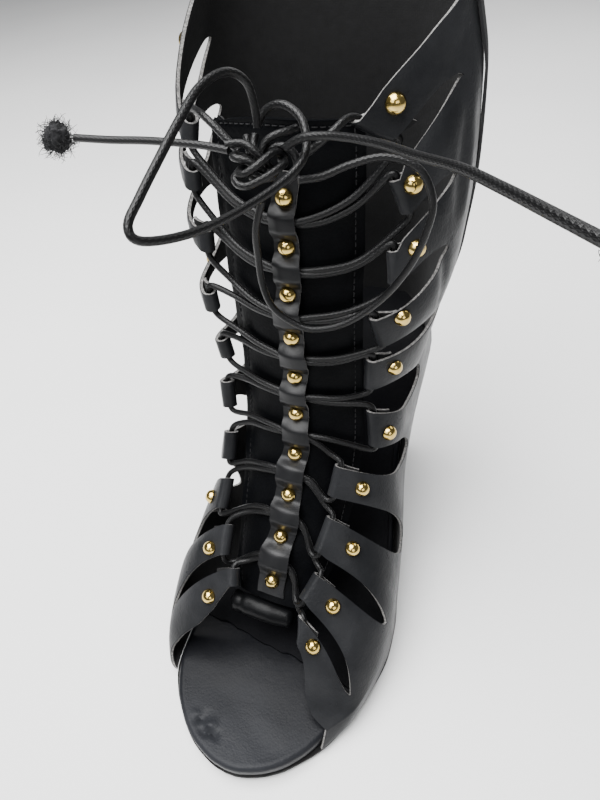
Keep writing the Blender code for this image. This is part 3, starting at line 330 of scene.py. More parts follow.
# ---- materials
class Nodes:
    """A Principled material under construction."""

    def __init__(self, name, colour, roughness, metallic=0, specular=0.5):
        self.material = bpy.data.materials.new(name)
        self.material.use_nodes = True
        self.tree = self.material.node_tree
        self.shader = self.tree.nodes["Principled BSDF"]
        self.height = None
        self.set(self.shader, {"Base Color": (*colour, 1), "Roughness": roughness, "Metallic": metallic,
                               "Specular IOR Level": specular})
        coordinate = self.tree.nodes.new("ShaderNodeTexCoord").outputs
        self.object, self.uv = coordinate["Object"], coordinate["UV"]

    def set(self, node, sockets):
        """Gives each named socket a value, or the output that drives it."""
        for name, value in sockets.items():
            if isinstance(value, bpy.types.NodeSocket):
                self.tree.links.new(value, node.inputs[name])
            else:
                node.inputs[name].default_value = value

    def add(self, kind, sockets, **properties):
        """Outputs of a new node."""
        node = self.tree.nodes.new("ShaderNode" + kind)
        for name, value in properties.items():
            setattr(node, name, value)
        self.set(node, sockets)
        return node.outputs

    def noise(self, scale, detail=3, rough=0.5):
        sockets = {"Scale": scale, "Detail": detail, "Roughness": rough, "Vector": self.object}
        return self.add("TexNoise", sockets)["Fac"]

    def cells(self, scale, feature="F1", randomness=1):
        sockets = {"Scale": scale, "Randomness": randomness, "Vector": self.object}
        return self.add("TexVoronoi", sockets, feature=feature)["Distance"]

    def spread(self, value, low, high, to_low, to_high):
        sockets = {"Value": value, "From Min": low, "From Max": high, "To Min": to_low, "To Max": to_high}
        return self.add("MapRange", sockets)["Result"]

    def math(self, operation, *values):
        return self.add("Math", dict(enumerate(values)), operation=operation)[0]

    def colour(self, value, stops):
        """Base colour from a value through stops of (place, colour)."""
        node = self.tree.nodes.new("ShaderNodeValToRGB")
        ramp = node.color_ramp.elements
        for element, (place, colour) in zip(ramp, (stops[0], stops[-1])):
            element.position, element.color = place, (*colour, 1)
        for place, colour in stops[1:-1]:
            ramp.new(place).color = (*colour, 1)
        self.set(node, {"Fac": value})
        self.set(self.shader, {"Base Color": node.outputs["Color"]})

    def roughness(self, low, high, value):
        self.set(self.shader, {"Roughness": self.spread(value, 0.3, 0.7, low, high)})

    def bump(self, value, depth, strength=1):
        """One more layer of relief, depth in metres."""
        sockets = {"Distance": depth, "Strength": strength, "Height": value}
        if self.height:
            sockets["Normal"] = self.height
        self.height = self.add("Bump", sockets)["Normal"]
        self.set(self.shader, {"Normal": self.height})


def leather(name, dark, light, smooth_low, smooth_high, grain=1, cloud=55, specular=0.25):
    """Soft synthetic leather: fine pebble, long cloudy wrinkles, uneven satin gloss."""
    m = Nodes(name, dark, smooth_low, specular=specular)
    m.colour(m.noise(cloud, 4, 0.6), [(0.35, dark), (0.7, light)])
    m.roughness(smooth_low, smooth_high, m.noise(90, 5, 0.6))
    m.bump(m.noise(38, 3, 0.5), 0.0016 * grain, 0.5)
    m.bump(m.noise(260, 4, 0.6), 0.00035 * grain, 0.6)
    m.bump(m.cells(1150), 0.00009 * grain, 0.7)
    return m.material


def footbed_leather(name):
    """Smooth insole leather: dark, with a broad soft sheen painted into its colour towards the toe, and a
    fine grain that shows near the toe.
    """
    m = Nodes(name, (0.01, 0.0105, 0.0128), 0.4, specular=0.07)
    back = m.add("SeparateXYZ", {0: m.object})[1]
    # Painted sheen: the colour lightens over the front 45 mm to the toe tip, where the light glances off; the
    # noise adds random tone
    tip = m.spread(back, -0.055, -0.1, 0, 1)
    painted_light_and_tone = m.math("ADD", m.math("MULTIPLY", m.noise(45, 4, 0.6), 0.45), m.math("MULTIPLY", tip, 0.6))
    m.colour(painted_light_and_tone, [(0.1, (0.003, 0.0032, 0.0042)), (0.45, (0.0056, 0.0059, 0.0072)),
                     (0.8, (0.018, 0.0188, 0.0215))])
    m.roughness(0.33, 0.44, m.noise(90, 5, 0.6))
    grain = m.math("MULTIPLY", m.cells(1150), m.spread(back, -0.045, -0.095, 0.15, 1))
    m.bump(grain, 0.00006)
    m.bump(m.noise(260, 4, 0.6), 0.0001)
    return m.material


def fabric(name, dark, light, pitch, depth):
    """Plain woven cloth."""
    m = Nodes(name, dark, 0.85, specular=0.25)
    m.set(m.shader, {"Sheen Weight": 0.06})
    m.colour(m.noise(240, 4, 0.7), [(0.3, dark), (0.75, light)])
    m.bump(m.cells(pitch, "SMOOTH_F1", 0.35), depth)
    m.bump(m.noise(500, 2), depth * 0.7)
    return m.material


BRAID_STRANDS = 9
BRAID = 1.7  # length in mm over which the lace's pattern repeats


def cord_look(name):
    """Round braided lace: two fine families of strands that cross, along the tube's own UV."""
    m = Nodes(name, (0.003, 0.003, 0.0034), 0.38, specular=0.24)
    m.set(m.shader, {"Sheen Weight": 0.05, "Sheen Roughness": 0.35})
    spot = m.add("SeparateXYZ", {0: m.uv})
    around = m.math("MULTIPLY", spot[0], math.tau * BRAID_STRANDS)
    along = m.math("MULTIPLY", spot[1], math.tau)
    one, two = (m.math("SINE", m.math(way, around, along)) for way in ("ADD", "SUBTRACT"))
    braid = m.math("MAXIMUM", one, two)
    fuzz = m.noise(1900, 3, 0.7)
    # Painted shade: the braid's grooves darker than its crests, over a random fuzz of tone
    painted_light_and_tone = m.math("ADD", m.math("MULTIPLY", braid, 0.08), fuzz)
    m.colour(painted_light_and_tone, [(0.3, (0.0005, 0.0005, 0.0006)), (0.62, (0.0014, 0.0014, 0.0016)),
                     (0.9, (0.005, 0.005, 0.0056))])
    m.bump(braid, 0.00003)
    m.bump(fuzz, 0.00003)
    return m.material


def gold(name):
    m = Nodes(name, (0.72, 0.52, 0.18), 0.14, metallic=1)
    m.colour(m.noise(300, 3), [(0.3, (0.5, 0.35, 0.09)), (0.75, (0.7, 0.52, 0.18))])
    m.roughness(0.09, 0.22, m.noise(700, 4))
    m.bump(m.noise(420, 2), 0.00008)
    return m.material


def rubber(name, dark, light, specular=0.35):
    m = Nodes(name, dark, 0.6, specular=specular)
    m.colour(m.noise(120, 4), [(0.35, dark), (0.7, light)])
    m.roughness(0.5, 0.75, m.noise(160, 4))
    m.bump(m.noise(900, 3), 0.0001)
    return m.material


def raw_edge(name):
    """Cut edge of the straps: pale fibres of the backing under a dark face."""
    m = Nodes(name, (0.16, 0.155, 0.15), 0.9, specular=0.2)
    m.colour(m.noise(1400, 4, 0.7), [(0.32, (0.045, 0.045, 0.046)), (0.52, (0.16, 0.155, 0.15)),
                                         (0.75, (0.36, 0.35, 0.34))])
    m.bump(m.noise(1800, 4, 0.8), 0.0002)
    return m.material


LEATHER = leather("leather_black", (0.0075, 0.0079, 0.0088), (0.0185, 0.019, 0.0205), 0.26, 0.4, 0.8, 30,
                  specular=0.085)
# Darker, duller copy of the black leather for the tongue: painted shade where it sits sunk between the straps
# and under the lace
TONGUE_PAINTED_SHADE_LEATHER = leather("leather_tongue_painted_shade", (0.001, 0.0011, 0.0014), (0.002, 0.0022, 0.0027), 0.4, 0.55, 0.8,
                specular=0.035)
SPINE = leather("leather_spine", (0.0028, 0.0029, 0.0034), (0.0052, 0.0053, 0.006), 0.36, 0.48, 0.25, 60,
                specular=0.22)
ROLL = leather("leather_roll", (0.0018, 0.0019, 0.0022), (0.003, 0.0031, 0.0035), 0.3, 0.42, 0.3, 60,
               specular=0.1)
FOOTBED_LOOK = footbed_leather("leather_footbed")
SOCK_LOOK = leather("leather_sock", (0.003, 0.0031, 0.0038), (0.0048, 0.0049, 0.0058), 0.55, 0.7, 0.5,
                    specular=0.05)
HEEL_LOOK = leather("leather_heel", (0.009, 0.0094, 0.0104), (0.014, 0.0144, 0.0156), 0.32, 0.44, 0.6,
                    specular=0.12)
# Near-black lining cloth, darkened further so the shoe's inside seen through the slots reads black: painted
# shade
LINING_PAINTED_SHADE = fabric("lining_cloth_painted_shade", (0.002, 0.002, 0.0022), (0.0052, 0.0052, 0.0056), 1300, 0.0001)
EDGE = raw_edge("cut_edge")
CORD_LOOK = cord_look("lace_braid")
GOLD = gold("stud_gold")
SOLE_LOOK = rubber("sole_rubber", (0.004, 0.004, 0.004), (0.008, 0.008, 0.008), 0.1)
TIP_LOOK = rubber("tip_rubber", (0.012, 0.012, 0.012), (0.022, 0.022, 0.022))
STRIP_LOOK = rubber("strip_black", (0.006, 0.006, 0.007), (0.01, 0.01, 0.011))
THREAD = fabric("thread_black", (0.002, 0.002, 0.0025), (0.008, 0.008, 0.009), 3000, 0.00006)
FRAY = fabric("frayed_fibre", (0.004, 0.004, 0.0045), (0.016, 0.016, 0.018), 2500, 0.00005)


# ---- building blocks
def add_object(name, data):
    obj = bpy.data.objects.new(name, data)
    bpy.context.scene.collection.objects.link(obj)
    return obj


def add_mesh(name, bm, looks):
    mesh = bpy.data.meshes.new(name)
    bm.to_mesh(mesh)
    bm.free()
    for look in looks:
        mesh.materials.append(look)
    return add_object(name, mesh)


def piece(name, bm, looks, nodes=(), angle=40):
    """Links a mesh, shaded smooth but for sharp edges, that rides on the boot and stands for CAD nodes."""
    obj = add_mesh(name, bm, looks)
    obj.data.shade_smooth()
    obj.data.set_sharp_from_angle(angle=math.radians(angle))
    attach(obj, "root")
    if nodes:
        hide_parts(*nodes)
    return obj


def faced_piece(name, bm, look, node, angle=50):
    """A closed piece of one look, once its faces are turned outward."""
    bmesh.ops.recalc_face_normals(bm, faces=bm.faces[:])
    return piece(name, bm, [look], [node], angle)


def shell(points, faces, thickness, lift=0, relief=(), under=0, rim=0, edge=0):
    """Closed wall from an open sheet in mm. relief is each point's height off the sheet; under and rim are
    the material slots of the inner face and of the cut edge; edge rounds the outer corner of the cut."""
    bm = bmesh.new()
    sheet = [bm.verts.new(p) for p in points]
    for face in faces:
        bm.faces.new([sheet[i] for i in face])
    bm.normal_update()
    for v, height in zip(sheet, relief):
        v.co += v.normal * height
    bm.normal_update()
    rims = [loop for e in bm.edges if e.is_boundary for loop in e.link_loops]
    border = [(loop.vert, loop.link_loop_next.vert) for loop in rims]
    shift = {v: v.normal * min(v.calc_shell_factor(), 1.6) for v in sheet}
    for v in sheet:
        around = sum((e.other_vert(v).normal for e in v.link_edges), Vector()).normalized()
        if v.normal.dot(around) < 0.3:  # a fold has turned this point's normal over
            shift[v] = around
    inner = {v: bm.verts.new(v.co + shift[v] * (lift - thickness)) for v in sheet}
    for face in bm.faces[:]:
        bm.faces.new([inner[v] for v in reversed(face.verts)]).material_index = under
    for v in sheet:
        v.co += shift[v] * lift
    cut = dict.fromkeys(v for pair in border for v in pair) if edge else ()
    lip = {v: bm.verts.new(v.co.lerp(inner[v].co, edge)) for v in cut}
    for a, b in border:
        if edge:
            bm.faces.new([b, a, lip[a], lip[b]])
        bm.faces.new([lip.get(b, b), lip.get(a, a), inner[a], inner[b]]).material_index = rim
    for v in bm.verts:
        v.co = at(v.co)
    return bm


def grid_faces(rows, columns):
    """Quads of a grid whose points are listed row by row."""
    corners = (0, 1, columns + 1, columns)
    return [[r * columns + c + k for k in corners] for r in range(rows - 1) for c in range(columns - 1)]


def crosswise(count):
    """Evenly from -1 to 1."""
    return [2 * k / count - 1 for k in range(count + 1)]


def circle(count, first=0):
    """Angles evenly round a circle."""
    return [math.tau * (k + first) / count for k in range(count)]


def ring_of(bm, points):
    """A new vertex for each point in mm."""
    return [bm.verts.new(at(p)) for p in points]


def loft(bm, rings, caps=False):
    """Quads between rings of vertices, and a face over each end if asked for."""
    turned = [ring[1:] + ring[:1] for ring in rings]
    faces = [bm.faces.new(quad) for a, b, a2, b2 in zip(rings, rings[1:], turned, turned[1:])
             for quad in zip(a, a2, b2, b)]
    if caps:
        bm.faces.new(rings[0])
        bm.faces.new(rings[-1])
    return faces


def spline(points, steps):
    """Smooth curve through points, with a number of steps between each two."""
    ends = [points[0], *points, points[-1]]
    line = []
    for p0, p1, p2, p3 in zip(ends, ends[1:], ends[2:], ends[3:]):
        for t in (k / steps for k in range(steps)):
            line.append(0.5 * (2 * p1 + (p2 - p0) * t + (2 * p0 - 5 * p1 + 4 * p2 - p3) * t**2
                               + (3 * p1 - p0 - 3 * p2 + p3) * t**3))
    return line + [points[-1].copy()]


def evenly(line, pitch):
    """The same line with points a pitch apart."""
    lengths = running(line)
    count = max(4, round(lengths[-1] / pitch))
    return [point_along(line, lengths, lengths[-1] * k / count) for k in range(count + 1)]


def relax(line, rounds):
    """The same line with its sharp turns eased, as a cord takes them."""
    for _ in range(rounds):
        eased = [b * 0.5 + (a + c) * 0.25 for a, b, c in zip(line, line[1:], line[2:])]
        line = [line[0], *eased, line[-1]]
    return line


def tube(bm, points, diameter, sides=12, taper=lambda t: 1):
    """Round tube with capped ends and a UV that runs once round it and once along every BRAID mm."""
    layer = bm.loops.layers.uv.verify()
    last = len(points) - 1
    normal = (points[1] - points[0]).normalized().orthogonal().normalized()
    rings = []
    for i, point in enumerate(points):
        ahead = (points[min(i + 1, last)] - points[max(i - 1, 0)]).normalized()
        normal = (normal - ahead * normal.dot(ahead)).normalized()
        side = ahead.cross(normal)
        ways = [normal * math.cos(a) + side * math.sin(a) for a in circle(sides)]
        rings.append(ring_of(bm, [point + way * (diameter / 2 * taper(i / last)) for way in ways]))
    marks = [length / BRAID for length in running(points)]
    for n, face in enumerate(loft(bm, rings)):
        i, k = divmod(n, sides)
        for loop, (u, v) in zip(face.loops, ((k, i), (k + 1, i), (k + 1, i + 1), (k, i + 1))):
            loop[layer].uv = (u / sides, marks[v])
    bm.faces.new(rings[0][::-1])
    bm.faces.new(rings[-1])


def stations(y_from, y_to, count=110):
    """The y of every cross line of the sole between two ends, close together at the toe and the heel."""
    whole = [TOE_Y + (HEEL_Y - TOE_Y) * 0.5 * (1 - math.cos(math.pi * i / count)) for i in range(count + 1)]
    return [y_from] + [y for y in whole if y_from + 0.1 < y < y_to - 0.4] + [y_to]


def sole_ring(y_from, y_to, grow, height):
    """Points round part of the sole, moved out by grow(y): up its lateral edge, back down its medial one."""
    ys = stations(y_from, y_to)
    ring = []
    for side, order in ((1, ys), (-1, ys[::-1])):
        for y in order:
            tip = sole_edge(y, 1) - sole_edge(y, -1) < 0.01
            if tip and side < 0:
                continue
            out = grow(y)
            x, back = beside_sole(y, side, out, 0.5)
            if tip:
                x, back = sole_edge(y, side), y + (out if y > 100 else -out)
            elif y in (y_from, y_to):
                back = y
            ring.append(Vector((x, back, height(back))))
    return ring


# ---- sole, footbed, sock lining and heel
def rim(y):
    """How far the outsole stands out past the footbed."""
    return 0.2 + 1.9 * smoothstep((y - 8) / 20)


def inset(y):
    """How far the footbed's cover is drawn in, more towards the heel."""
    return -0.2 - 2.6 * smoothstep((y - 120) / 50)


def seat(y):
    """Height of the outsole's upper face."""
    return footbed_under(y) - GAP * math.hypot(1, footbed_under(y + 0.5) - footbed_under(y - 0.5))


# Dents and puffs of the footbed's cover: middle, half width along and across its own direction, turn, height.
DENTS = table("x y long wide turn height", [
    (-18.4, 8.4, 2.6, 1.1, 60, 1.3), (-15.6, 8, 2.2, 1, 110, 1.1), (-17.4, 6.2, 3, 1.1, 20, -1.9),
    (-14.4, 6.4, 2.2, 1, -25, -1.5), (-19.8, 5.6, 2.2, 0.9, 70, -1), (-23.4, 9, 2.6, 0.9, 40, -1.5),
    (-25, 10.8, 2.6, 0.9, 10, 0.9), (-22.6, 11.4, 2.4, 0.9, 60, -0.8), (-12, 24, 26, 7, 4, -0.45),
    (4, 12, 16, 5, -24, -0.35)])


def dent(x, y):
    """Height of the dents at a point of the footbed."""
    total = 0
    for row in DENTS:
        turn = math.radians(row["turn"])
        dx, dy = x - row["x"], y - row["y"]
        a = (dx * math.cos(turn) + dy * math.sin(turn)) / row["long"]
        b = (dy * math.cos(turn) - dx * math.sin(turn)) / row["wide"]
        total += row["height"] * math.exp(-a * a - b * b)
    return total


def covered_layer(name, y_to, layers, inner, look, node, relief=None):
    """A layer of the sole from the toe back: rings up or down its side, then drawn in to a middle line."""
    bm = bmesh.new()
    outlines = [sole_ring(TOE_Y, y_to, grow, height) for grow, height in layers]
    rings = [ring_of(bm, outline) for outline in outlines]
    top = layers[-1][1]
    for blend in inner:
        ring = []
        for p in outlines[-1]:
            y = min(max(p.y, TOE_Y + 26), y_to - 18)
            spot = p.lerp(Vector(((sole_edge(y, 1) + sole_edge(y, -1)) / 2, y, 0)), blend)
            spot.z = top(spot.y) + relief(spot.x, spot.y) * min(blend * 12, 1)
            ring.append(spot)
        rings.append(ring_of(bm, ring))
    loft(bm, rings)
    for ring in (rings[0], rings[-1]):
        close_strip(bm, ring, TOE_Y)
    bmesh.ops.remove_doubles(bm, verts=bm.verts[:], dist=1e-6)
    faced_piece(name, bm, look, node)


def close_strip(bm, ring, y_from):
    """Closes a ring of the sole with strips from its lateral to its medial edge."""
    left, right = 0, len(ring) - 1
    if sole_edge(y_from, 1) - sole_edge(y_from, -1) < 0.01:
        bm.faces.new([ring[0], ring[1], ring[-1]])
        left = 1
    while right - left > 2:
        bm.faces.new([ring[left], ring[left + 1], ring[right - 1], ring[right]])
        left, right = left + 1, right - 1
    if right - left == 2:
        bm.faces.new([ring[left], ring[left + 1], ring[right]])


ROLL_OVER = 2.2  # radius of the cover's upper edge
FOOTBED_RINGS = (0.03, 0.06, 0.1, 0.15, 0.2, 0.26, 0.32, 0.38, 0.45, 0.52, 0.6, 0.68, 0.76, 0.84, 0.92, 0.98)
# The outsole's side: how far in from the rim, and how high above its underside.
OUTSOLE_SIDE = ((0.6, OUTSOLE), (0.1, OUTSOLE - 0.25), (0, OUTSOLE - 0.7), (0, 1.3), (0.2, 0.8), (0.6, 0.3),
                (1.4, 0))


def build_sole():
    side = [(lambda y, draw=draw: inset(y) - draw, lambda y, up=up: footbed_under(y) + up)
            for draw, up in ((0.8, 0), (0.15, 0.6), (0, 1.6))]
    round_over = [(lambda y, a=a: inset(y) - ROLL_OVER + ROLL_OVER * math.sin(a),
                   lambda y, a=a: footbed_top(y) - ROLL_OVER + ROLL_OVER * math.cos(a))
                  for a in (math.radians(d) for d in range(90, -1, -18))]
    covered_layer("footbed_cover", HEEL_Y, side + round_over, FOOTBED_RINGS, FOOTBED_LOOK,
                  "footbed", dent)
    side = [(lambda y, draw=draw: rim(y) - draw, lambda y, up=up: max(seat(y) - OUTSOLE + up, min(up, 0.15)))
            for draw, up in OUTSOLE_SIDE]
    covered_layer("outsole_rubber", BREAST, side, (), SOLE_LOOK, "outsole")
    build_sock()
    build_heel()


def sock_front(x):
    """How far the sock lining's loose front edge waves back and forth across the footbed."""
    waves = 0.5 * math.sin(0.19 * x + 0.6) + 0.35 * math.sin(0.55 * x) + 0.2 * math.sin(1.3 * x + 1)
    return waves - 0.11 * x - 1.3


SOCK_FROM, SOCK_TO = 49, 199
SOCK_IN, SOCK_BACK = 2.8, 2.8  # how far it keeps from the cover's edge, and is moved back at the heel
# How much wider the sock gets behind the shank, to close the seat out to the counter's wall.
TUCK = table("y lateral medial", [
    (40, 0, 0), (147, 0, 0), (158, 5, 6.2), (172, 4.6, 6.6), (182, 2.6, 6.4), (192, 0.6, 6),
    (199, 0.8, 4.6)])


def build_sock():
    """Thin lining over the footbed from a wavy front edge to the heel."""
    ys = stations(SOCK_FROM, SOCK_TO, 120)
    across = 26
    points = []
    for y in ys:
        near = max(0, 1 - (y - SOCK_FROM) / 22)
        medial, lateral = (sole_edge(y, side) + side * (inset(y) - SOCK_IN + smooth(TUCK, "y", name, y))
                           for side, name in ((-1, "medial"), (1, "lateral")))
        for k in range(across + 1):
            x = mix(medial, lateral, k / across)
            back = y + sock_front(x) * near + SOCK_BACK * min(max((y - 184) / 15, 0), 1)
            lift = 0.35 * near**3 * (1 + math.sin(0.35 * x))
            points.append(Vector((x, back, footbed_top(back) + GAP + SOCK + lift + 0.1)))
    bm = shell(points, grid_faces(len(ys), across + 1), SOCK)
    faced_piece("sock_lining_cloth", bm, SOCK_LOOK, "sock_lining")


HEEL_SHAPE = table("down blend", [(0, 0), (0.1, 0.16), (0.25, 0.42), (0.45, 0.68), (0.7, 0.88), (1, 1)])
TIP_HALF = 6  # half width of the heel's tip
TIP_X, TIP_Y, TIP_TALL = 1.5, 189, 6


def tip_point(angle, half, z):
    """A point of a square about the heel tip's middle, with its corners cut off."""
    reach = min(half / max(abs(math.cos(angle)), abs(math.sin(angle))), half * 1.2)
    return Vector((TIP_X + reach * math.cos(angle), TIP_Y + reach * math.sin(angle), z))


def build_heel():
    """Covered heel drawn in from the seat's outline to the small square tip, and the tip under it."""
    top = sole_ring(BREAST + GAP, HEEL_Y, lambda y: 0.6, lambda y: footbed_under(y) - 1.5 * GAP)
    bm = bmesh.new()
    rings = []
    steps = 40
    for i in range(steps + 1):
        down = i / steps
        ring = []
        for spot in top:
            angle = math.atan2(spot.y - (BREAST + HEEL_Y) / 2, spot.x - TIP_X)
            end = tip_point(angle, TIP_HALF, TIP_TALL + GAP)
            point = spot.lerp(end, smooth(HEEL_SHAPE, "down", "blend", down))
            point.z = mix(spot.z, end.z, down)
            ring.append(point)
        rings.append(ring_of(bm, ring))
    loft(bm, rings)
    bm.faces.new(rings[-1])
    close_strip(bm, rings[0], BREAST)
    faced_piece("heel_wrapped", bm, HEEL_LOOK, "heel")
    bm = bmesh.new()
    sizes = ((TIP_HALF, TIP_TALL), (TIP_HALF, 0.9), (TIP_HALF - 0.15, 0.45), (TIP_HALF - 0.6, 0))
    loft(bm, [ring_of(bm, [tip_point(a, half, z) for a in circle(48, 0.5)]) for half, z in sizes], caps=True)
    faced_piece("heel_top_piece", bm, TIP_LOOK, "heel_tip", 40)


# ---- upper
# Creases of the leather: a soft ridge along a line of the shoe, or a trough where the height is negative.
CREASES = table("side width height line", [
    (1, 2.6, -0.9, [(39, 150, 214), (38, 147, 196), (36, 146, 180)]),
    (1, 2.2, 0.6, [(41, 154, 212), (40, 152, 194), (38, 150, 178)]),
    (1, 2.4, -0.9, [(37, 140, 168), (36, 142, 156), (35, 144, 146)]),
    (1, 5, 0.7, [(36, 170, 190), (37, 168, 150), (33, 172, 120)]),
    (1, 3, -0.7, [(30, 150, 118), (31, 170, 126), (26, 190, 130)]),
    (1, 3.2, -0.6, [(31, 142, 104), (29, 165, 112), (22, 190, 116)]),
    (-1, 3.2, -0.8, [(-54, 140, 122), (-50, 160, 128), (-38, 185, 132)]),
    (-1, 3, -0.6, [(-52, 138, 106), (-47, 160, 112), (-36, 186, 116)]),
    (-1, 2.6, -0.7, [(-59, 150, 200), (-60, 150, 180), (-58, 152, 160)]),
    (1, 4, -0.5, [(40, 90, 40), (39, 110, 55), (36, 128, 75)]),
    (-1, 4, -0.5, [(-52, 88, 38), (-46, 108, 55), (-42, 125, 75)]),
])


def crease(point, side):
    """Height of the creases at a point of one side of the upper."""
    total = 0
    for row in CREASES:
        if row["side"] != side:
            continue
        line = [Vector(p) for p in row["line"]]
        best = 1e9
        for a, b in zip(line, line[1:]):
            t = min(max((point - a).dot(b - a) / (b - a).length_squared, 0), 1)
            best = min(best, (point - a.lerp(b, t)).length)
        if best < 4 * row["width"]:
            total += row["height"] * math.exp(-(best / row["width"]) ** 2)
    return total


# How the straps are divided: across them, along them and along the panel behind them.
ACROSS = tuple(k / 10 for k in range(11))
ACROSS_HEEL = tuple(k * 0.03 for k in range(11)) + tuple(0.3 + k * 0.07 for k in range(1, 10)) + (1,)
PARTS = tuple(1 - (1 - k / 26) ** 1.9 for k in range(27))
REAR = tuple(k / 46 for k in range(1, 47))


def loop_profile():
    """The folded loop: (forward, inward) of its outer face, from under the strap, round and up to its top."""
    leg_end = WALL * 2 + 0.5
    leg = [(-LEG * u, mix(2 * LOOP, leg_end, smoothstep(u))) for u in (k / 8 for k in range(8, 0, -1))]
    return leg + [(LOOP * math.sin(a), LOOP * (1 - math.cos(a))) for a in
                  (math.radians(d) for d in range(180, 0, -15))]


def loop_point(side, index, across, forward, inward):
    """A point of a strap's folded loop."""
    row, reach = strap_point(side, index, across, 0)
    if forward < 0:
        reach -= forward
        return on_upper(row, side, reach) - upper_normal(row, side, reach) * inward
    face = on_upper(row, side, reach)
    ahead = (face - on_upper(row, side, reach + 2)).normalized()
    return face + ahead * forward - upper_normal(row, side, reach) * inward


def build_upper():
    """The cage: ten straps a side, each with its folded loop, one body with the panels and the back seam."""
    made, index_of, faces = [], {}, []

    def vertex(key, spot, rise=0):
        if key not in index_of:
            index_of[key] = len(made)
            made.append((spot, rise, side))
        return index_of[key]

    for side in (1, -1):
        for index in range(len(STRAPS[side])):
            rows = ACROSS_HEEL if index == 5 else ACROSS
            wave = random.Random(31 * index + side)
            lean, twist = wave.uniform(-0.25, 0.25), wave.uniform(-0.5, 0.5)
            columns = [[vertex(("loop", side, index, across, *fold), loop_point(side, index, across, *fold))
                        for across in rows] for fold in loop_profile()]
            for part in PARTS:
                fade = math.sin(math.pi * min(part * 1.15, 1))
                column = []
                for across in rows:
                    row, reach = strap_point(side, index, across, part)
                    key = ("strap", side, index, across, part)
                    if part == 1 and across in (0, 1):
                        key = ("tip", side, index + int(across))
                    off = 2 * across - 1
                    rise = 0.45 * (1 - off * off) - 0.35 * off**4 + lean * off + twist * 0.4 * off * part
                    column.append(vertex(key, on_upper(row, side, reach), fade * rise))
                columns.append(column)
            tips = [TIPS[index + k][side_name(side)] for k in (0, 1)]
            for part in REAR:
                column = []
                for across in rows:
                    row = mix(rear_row(side, index, part), rear_row(side, index + 1, part), across)
                    key = ("rear", side, index, across, part)
                    if across in (0, 1):
                        key = ("rear", side, index + int(across), part)
                    if part == 1 and row >= HEEL_ROW - 1e-6:
                        key = ("seam", round(row, 4))
                    reach = mix(mix(*tips, across), girths(row, side)[-1], part)
                    column.append(vertex(key, on_upper(row, side, reach)))
                columns.append(column)
            for a, b in zip(columns, columns[1:]):
                for k in range(len(a) - 1):
                    quad = (a[k], b[k], b[k + 1], a[k + 1])[::side]
                    ring = [i for n, i in enumerate(quad) if i != quad[n - 1]]
                    if len(ring) > 2:
                        faces.append(ring)
    relief = [rise + crease(spot, side) for spot, rise, side in made]
    bm = shell([spot for spot, _, _ in made], faces, WALL, relief=relief, under=1, rim=2, edge=0.22)
    piece("upper_leather", bm, [LEATHER, LINING_PAINTED_SHADE, EDGE], ["upper"], 38)


STRIP_WIDTH, STRIP_THICK = 5, 0.9
STRIP_Y = 167  # how far back the side strip stands


def running_to_y(row, side, y):
    """Girth from the crown at which a row has come back to y on its way to the seam."""
    points, lengths = section(row, side), girths(row, side)
    for a, b, la, lb in zip(points, points[1:], lengths, lengths[1:]):
        if a.y <= y <= b.y:
            return mix(la, lb, (y - a.y) / (b.y - a.y))
    return lengths[-1]


def build_side_strip():
    """Narrow dark strip that stands up the outer side of the shaft behind the slots."""
    points = []
    steps = 90
    for i in range(steps + 1):
        row = mix(6.1, 10.05, i / steps)
        reach = running_to_y(row, 1, STRIP_Y)
        wide = STRIP_WIDTH * min(1, 0.15 + i / 9)
        points += [on_upper(row, 1, reach + across * wide) for across in (-0.5, -0.3, 0, 0.3, 0.5)]
    bm = shell(points, grid_faces(steps + 1, 5), STRIP_THICK, GAP + STRIP_THICK + 0.15)
    piece("side_strip_band", bm, [STRIP_LOOK], ["side_strip"])


# ---- tongue, spine strap and toe roll
# Crown line of the tongue: one row under each stud of the spine strap, and one at each end. lateral, medial:
# how far it reaches to each side. curl: how far its edges fall back. strap: the spine's width.
TONGUE = table("stud x y z lateral medial curl strap", [
    (0, -8, 52.5, 36, 12.5, 12.5, 2, 11.6),
    (1, -9, 63, 45, 20, 20, 6, 11.6),
    (2, -9.5, 77, 59, 24, 24, 8.5, 11.4),
    (3, -10, 89.5, 72.5, 25.5, 26.5, 9.5, 11.2),
    (4, -10.5, 101, 87, 26, 28.5, 9.5, 10.8),
    (5, -11.3, 108, 104.5, 25.2, 29, 9.5, 10.3),
    (6, -12, 112, 121.5, 24.6, 29, 9.5, 9.8),
    (7, -12.5, 114, 139.5, 24.4, 29.5, 9.5, 9.4),
    (8, -13, 116, 157.5, 24.4, 30, 9.5, 9),
    (9, -13.5, 120, 174, 24.4, 31.5, 9.5, 8.7),
    (10, -14, 123, 190.5, 24.4, 32, 9, 8.4),
    (11, -14, 125, 203.5, 24, 31.5, 9, 8.4),
    (12, -14, 126.2, 213.6, 23, 30.5, 8.5, 8.4),
])
TONGUE_FROM, TONGUE_TO = 0.38, 12
TONGUE_DROP = 0.4  # how many stations lower the tongue's top edge ends at its medial corner
SIDE_SEAM, TOP_SEAM = 0.89, 11.8  # where the seam lies: part of the way to an edge, and station of its top


@functools.cache
def tongue_frame(stud):
    """Crown point, the way up along the crown, and the way out of the shoe."""
    def crown(s):
        return Vector([smooth(TONGUE, "stud", name, s) for name in "xyz"])
    along = (crown(min(stud + 0.1, TONGUE_TO)) - crown(max(stud - 0.1, 0))).normalized()
    out = along.cross(Vector((1, 0, 0))).normalized()
    return crown(stud), along, -out if out.z < -abs(out.y) or out.y > 0 else out


def on_tongue(stud, across, lift=0):
    """Top of the tongue: across is in mm from its crown line, lift is how far off it."""
    crown, _, out = tongue_frame(stud)
    half = smooth(TONGUE, "stud", side_name(across), stud)
    curl = smooth(TONGUE, "stud", "curl", stud)
    u = across / half
    normal = (out + Vector((2 * curl * u / half, 0, 0))).normalized()
    return crown + Vector((across, 0, 0)) - out * curl * u * u + normal * lift


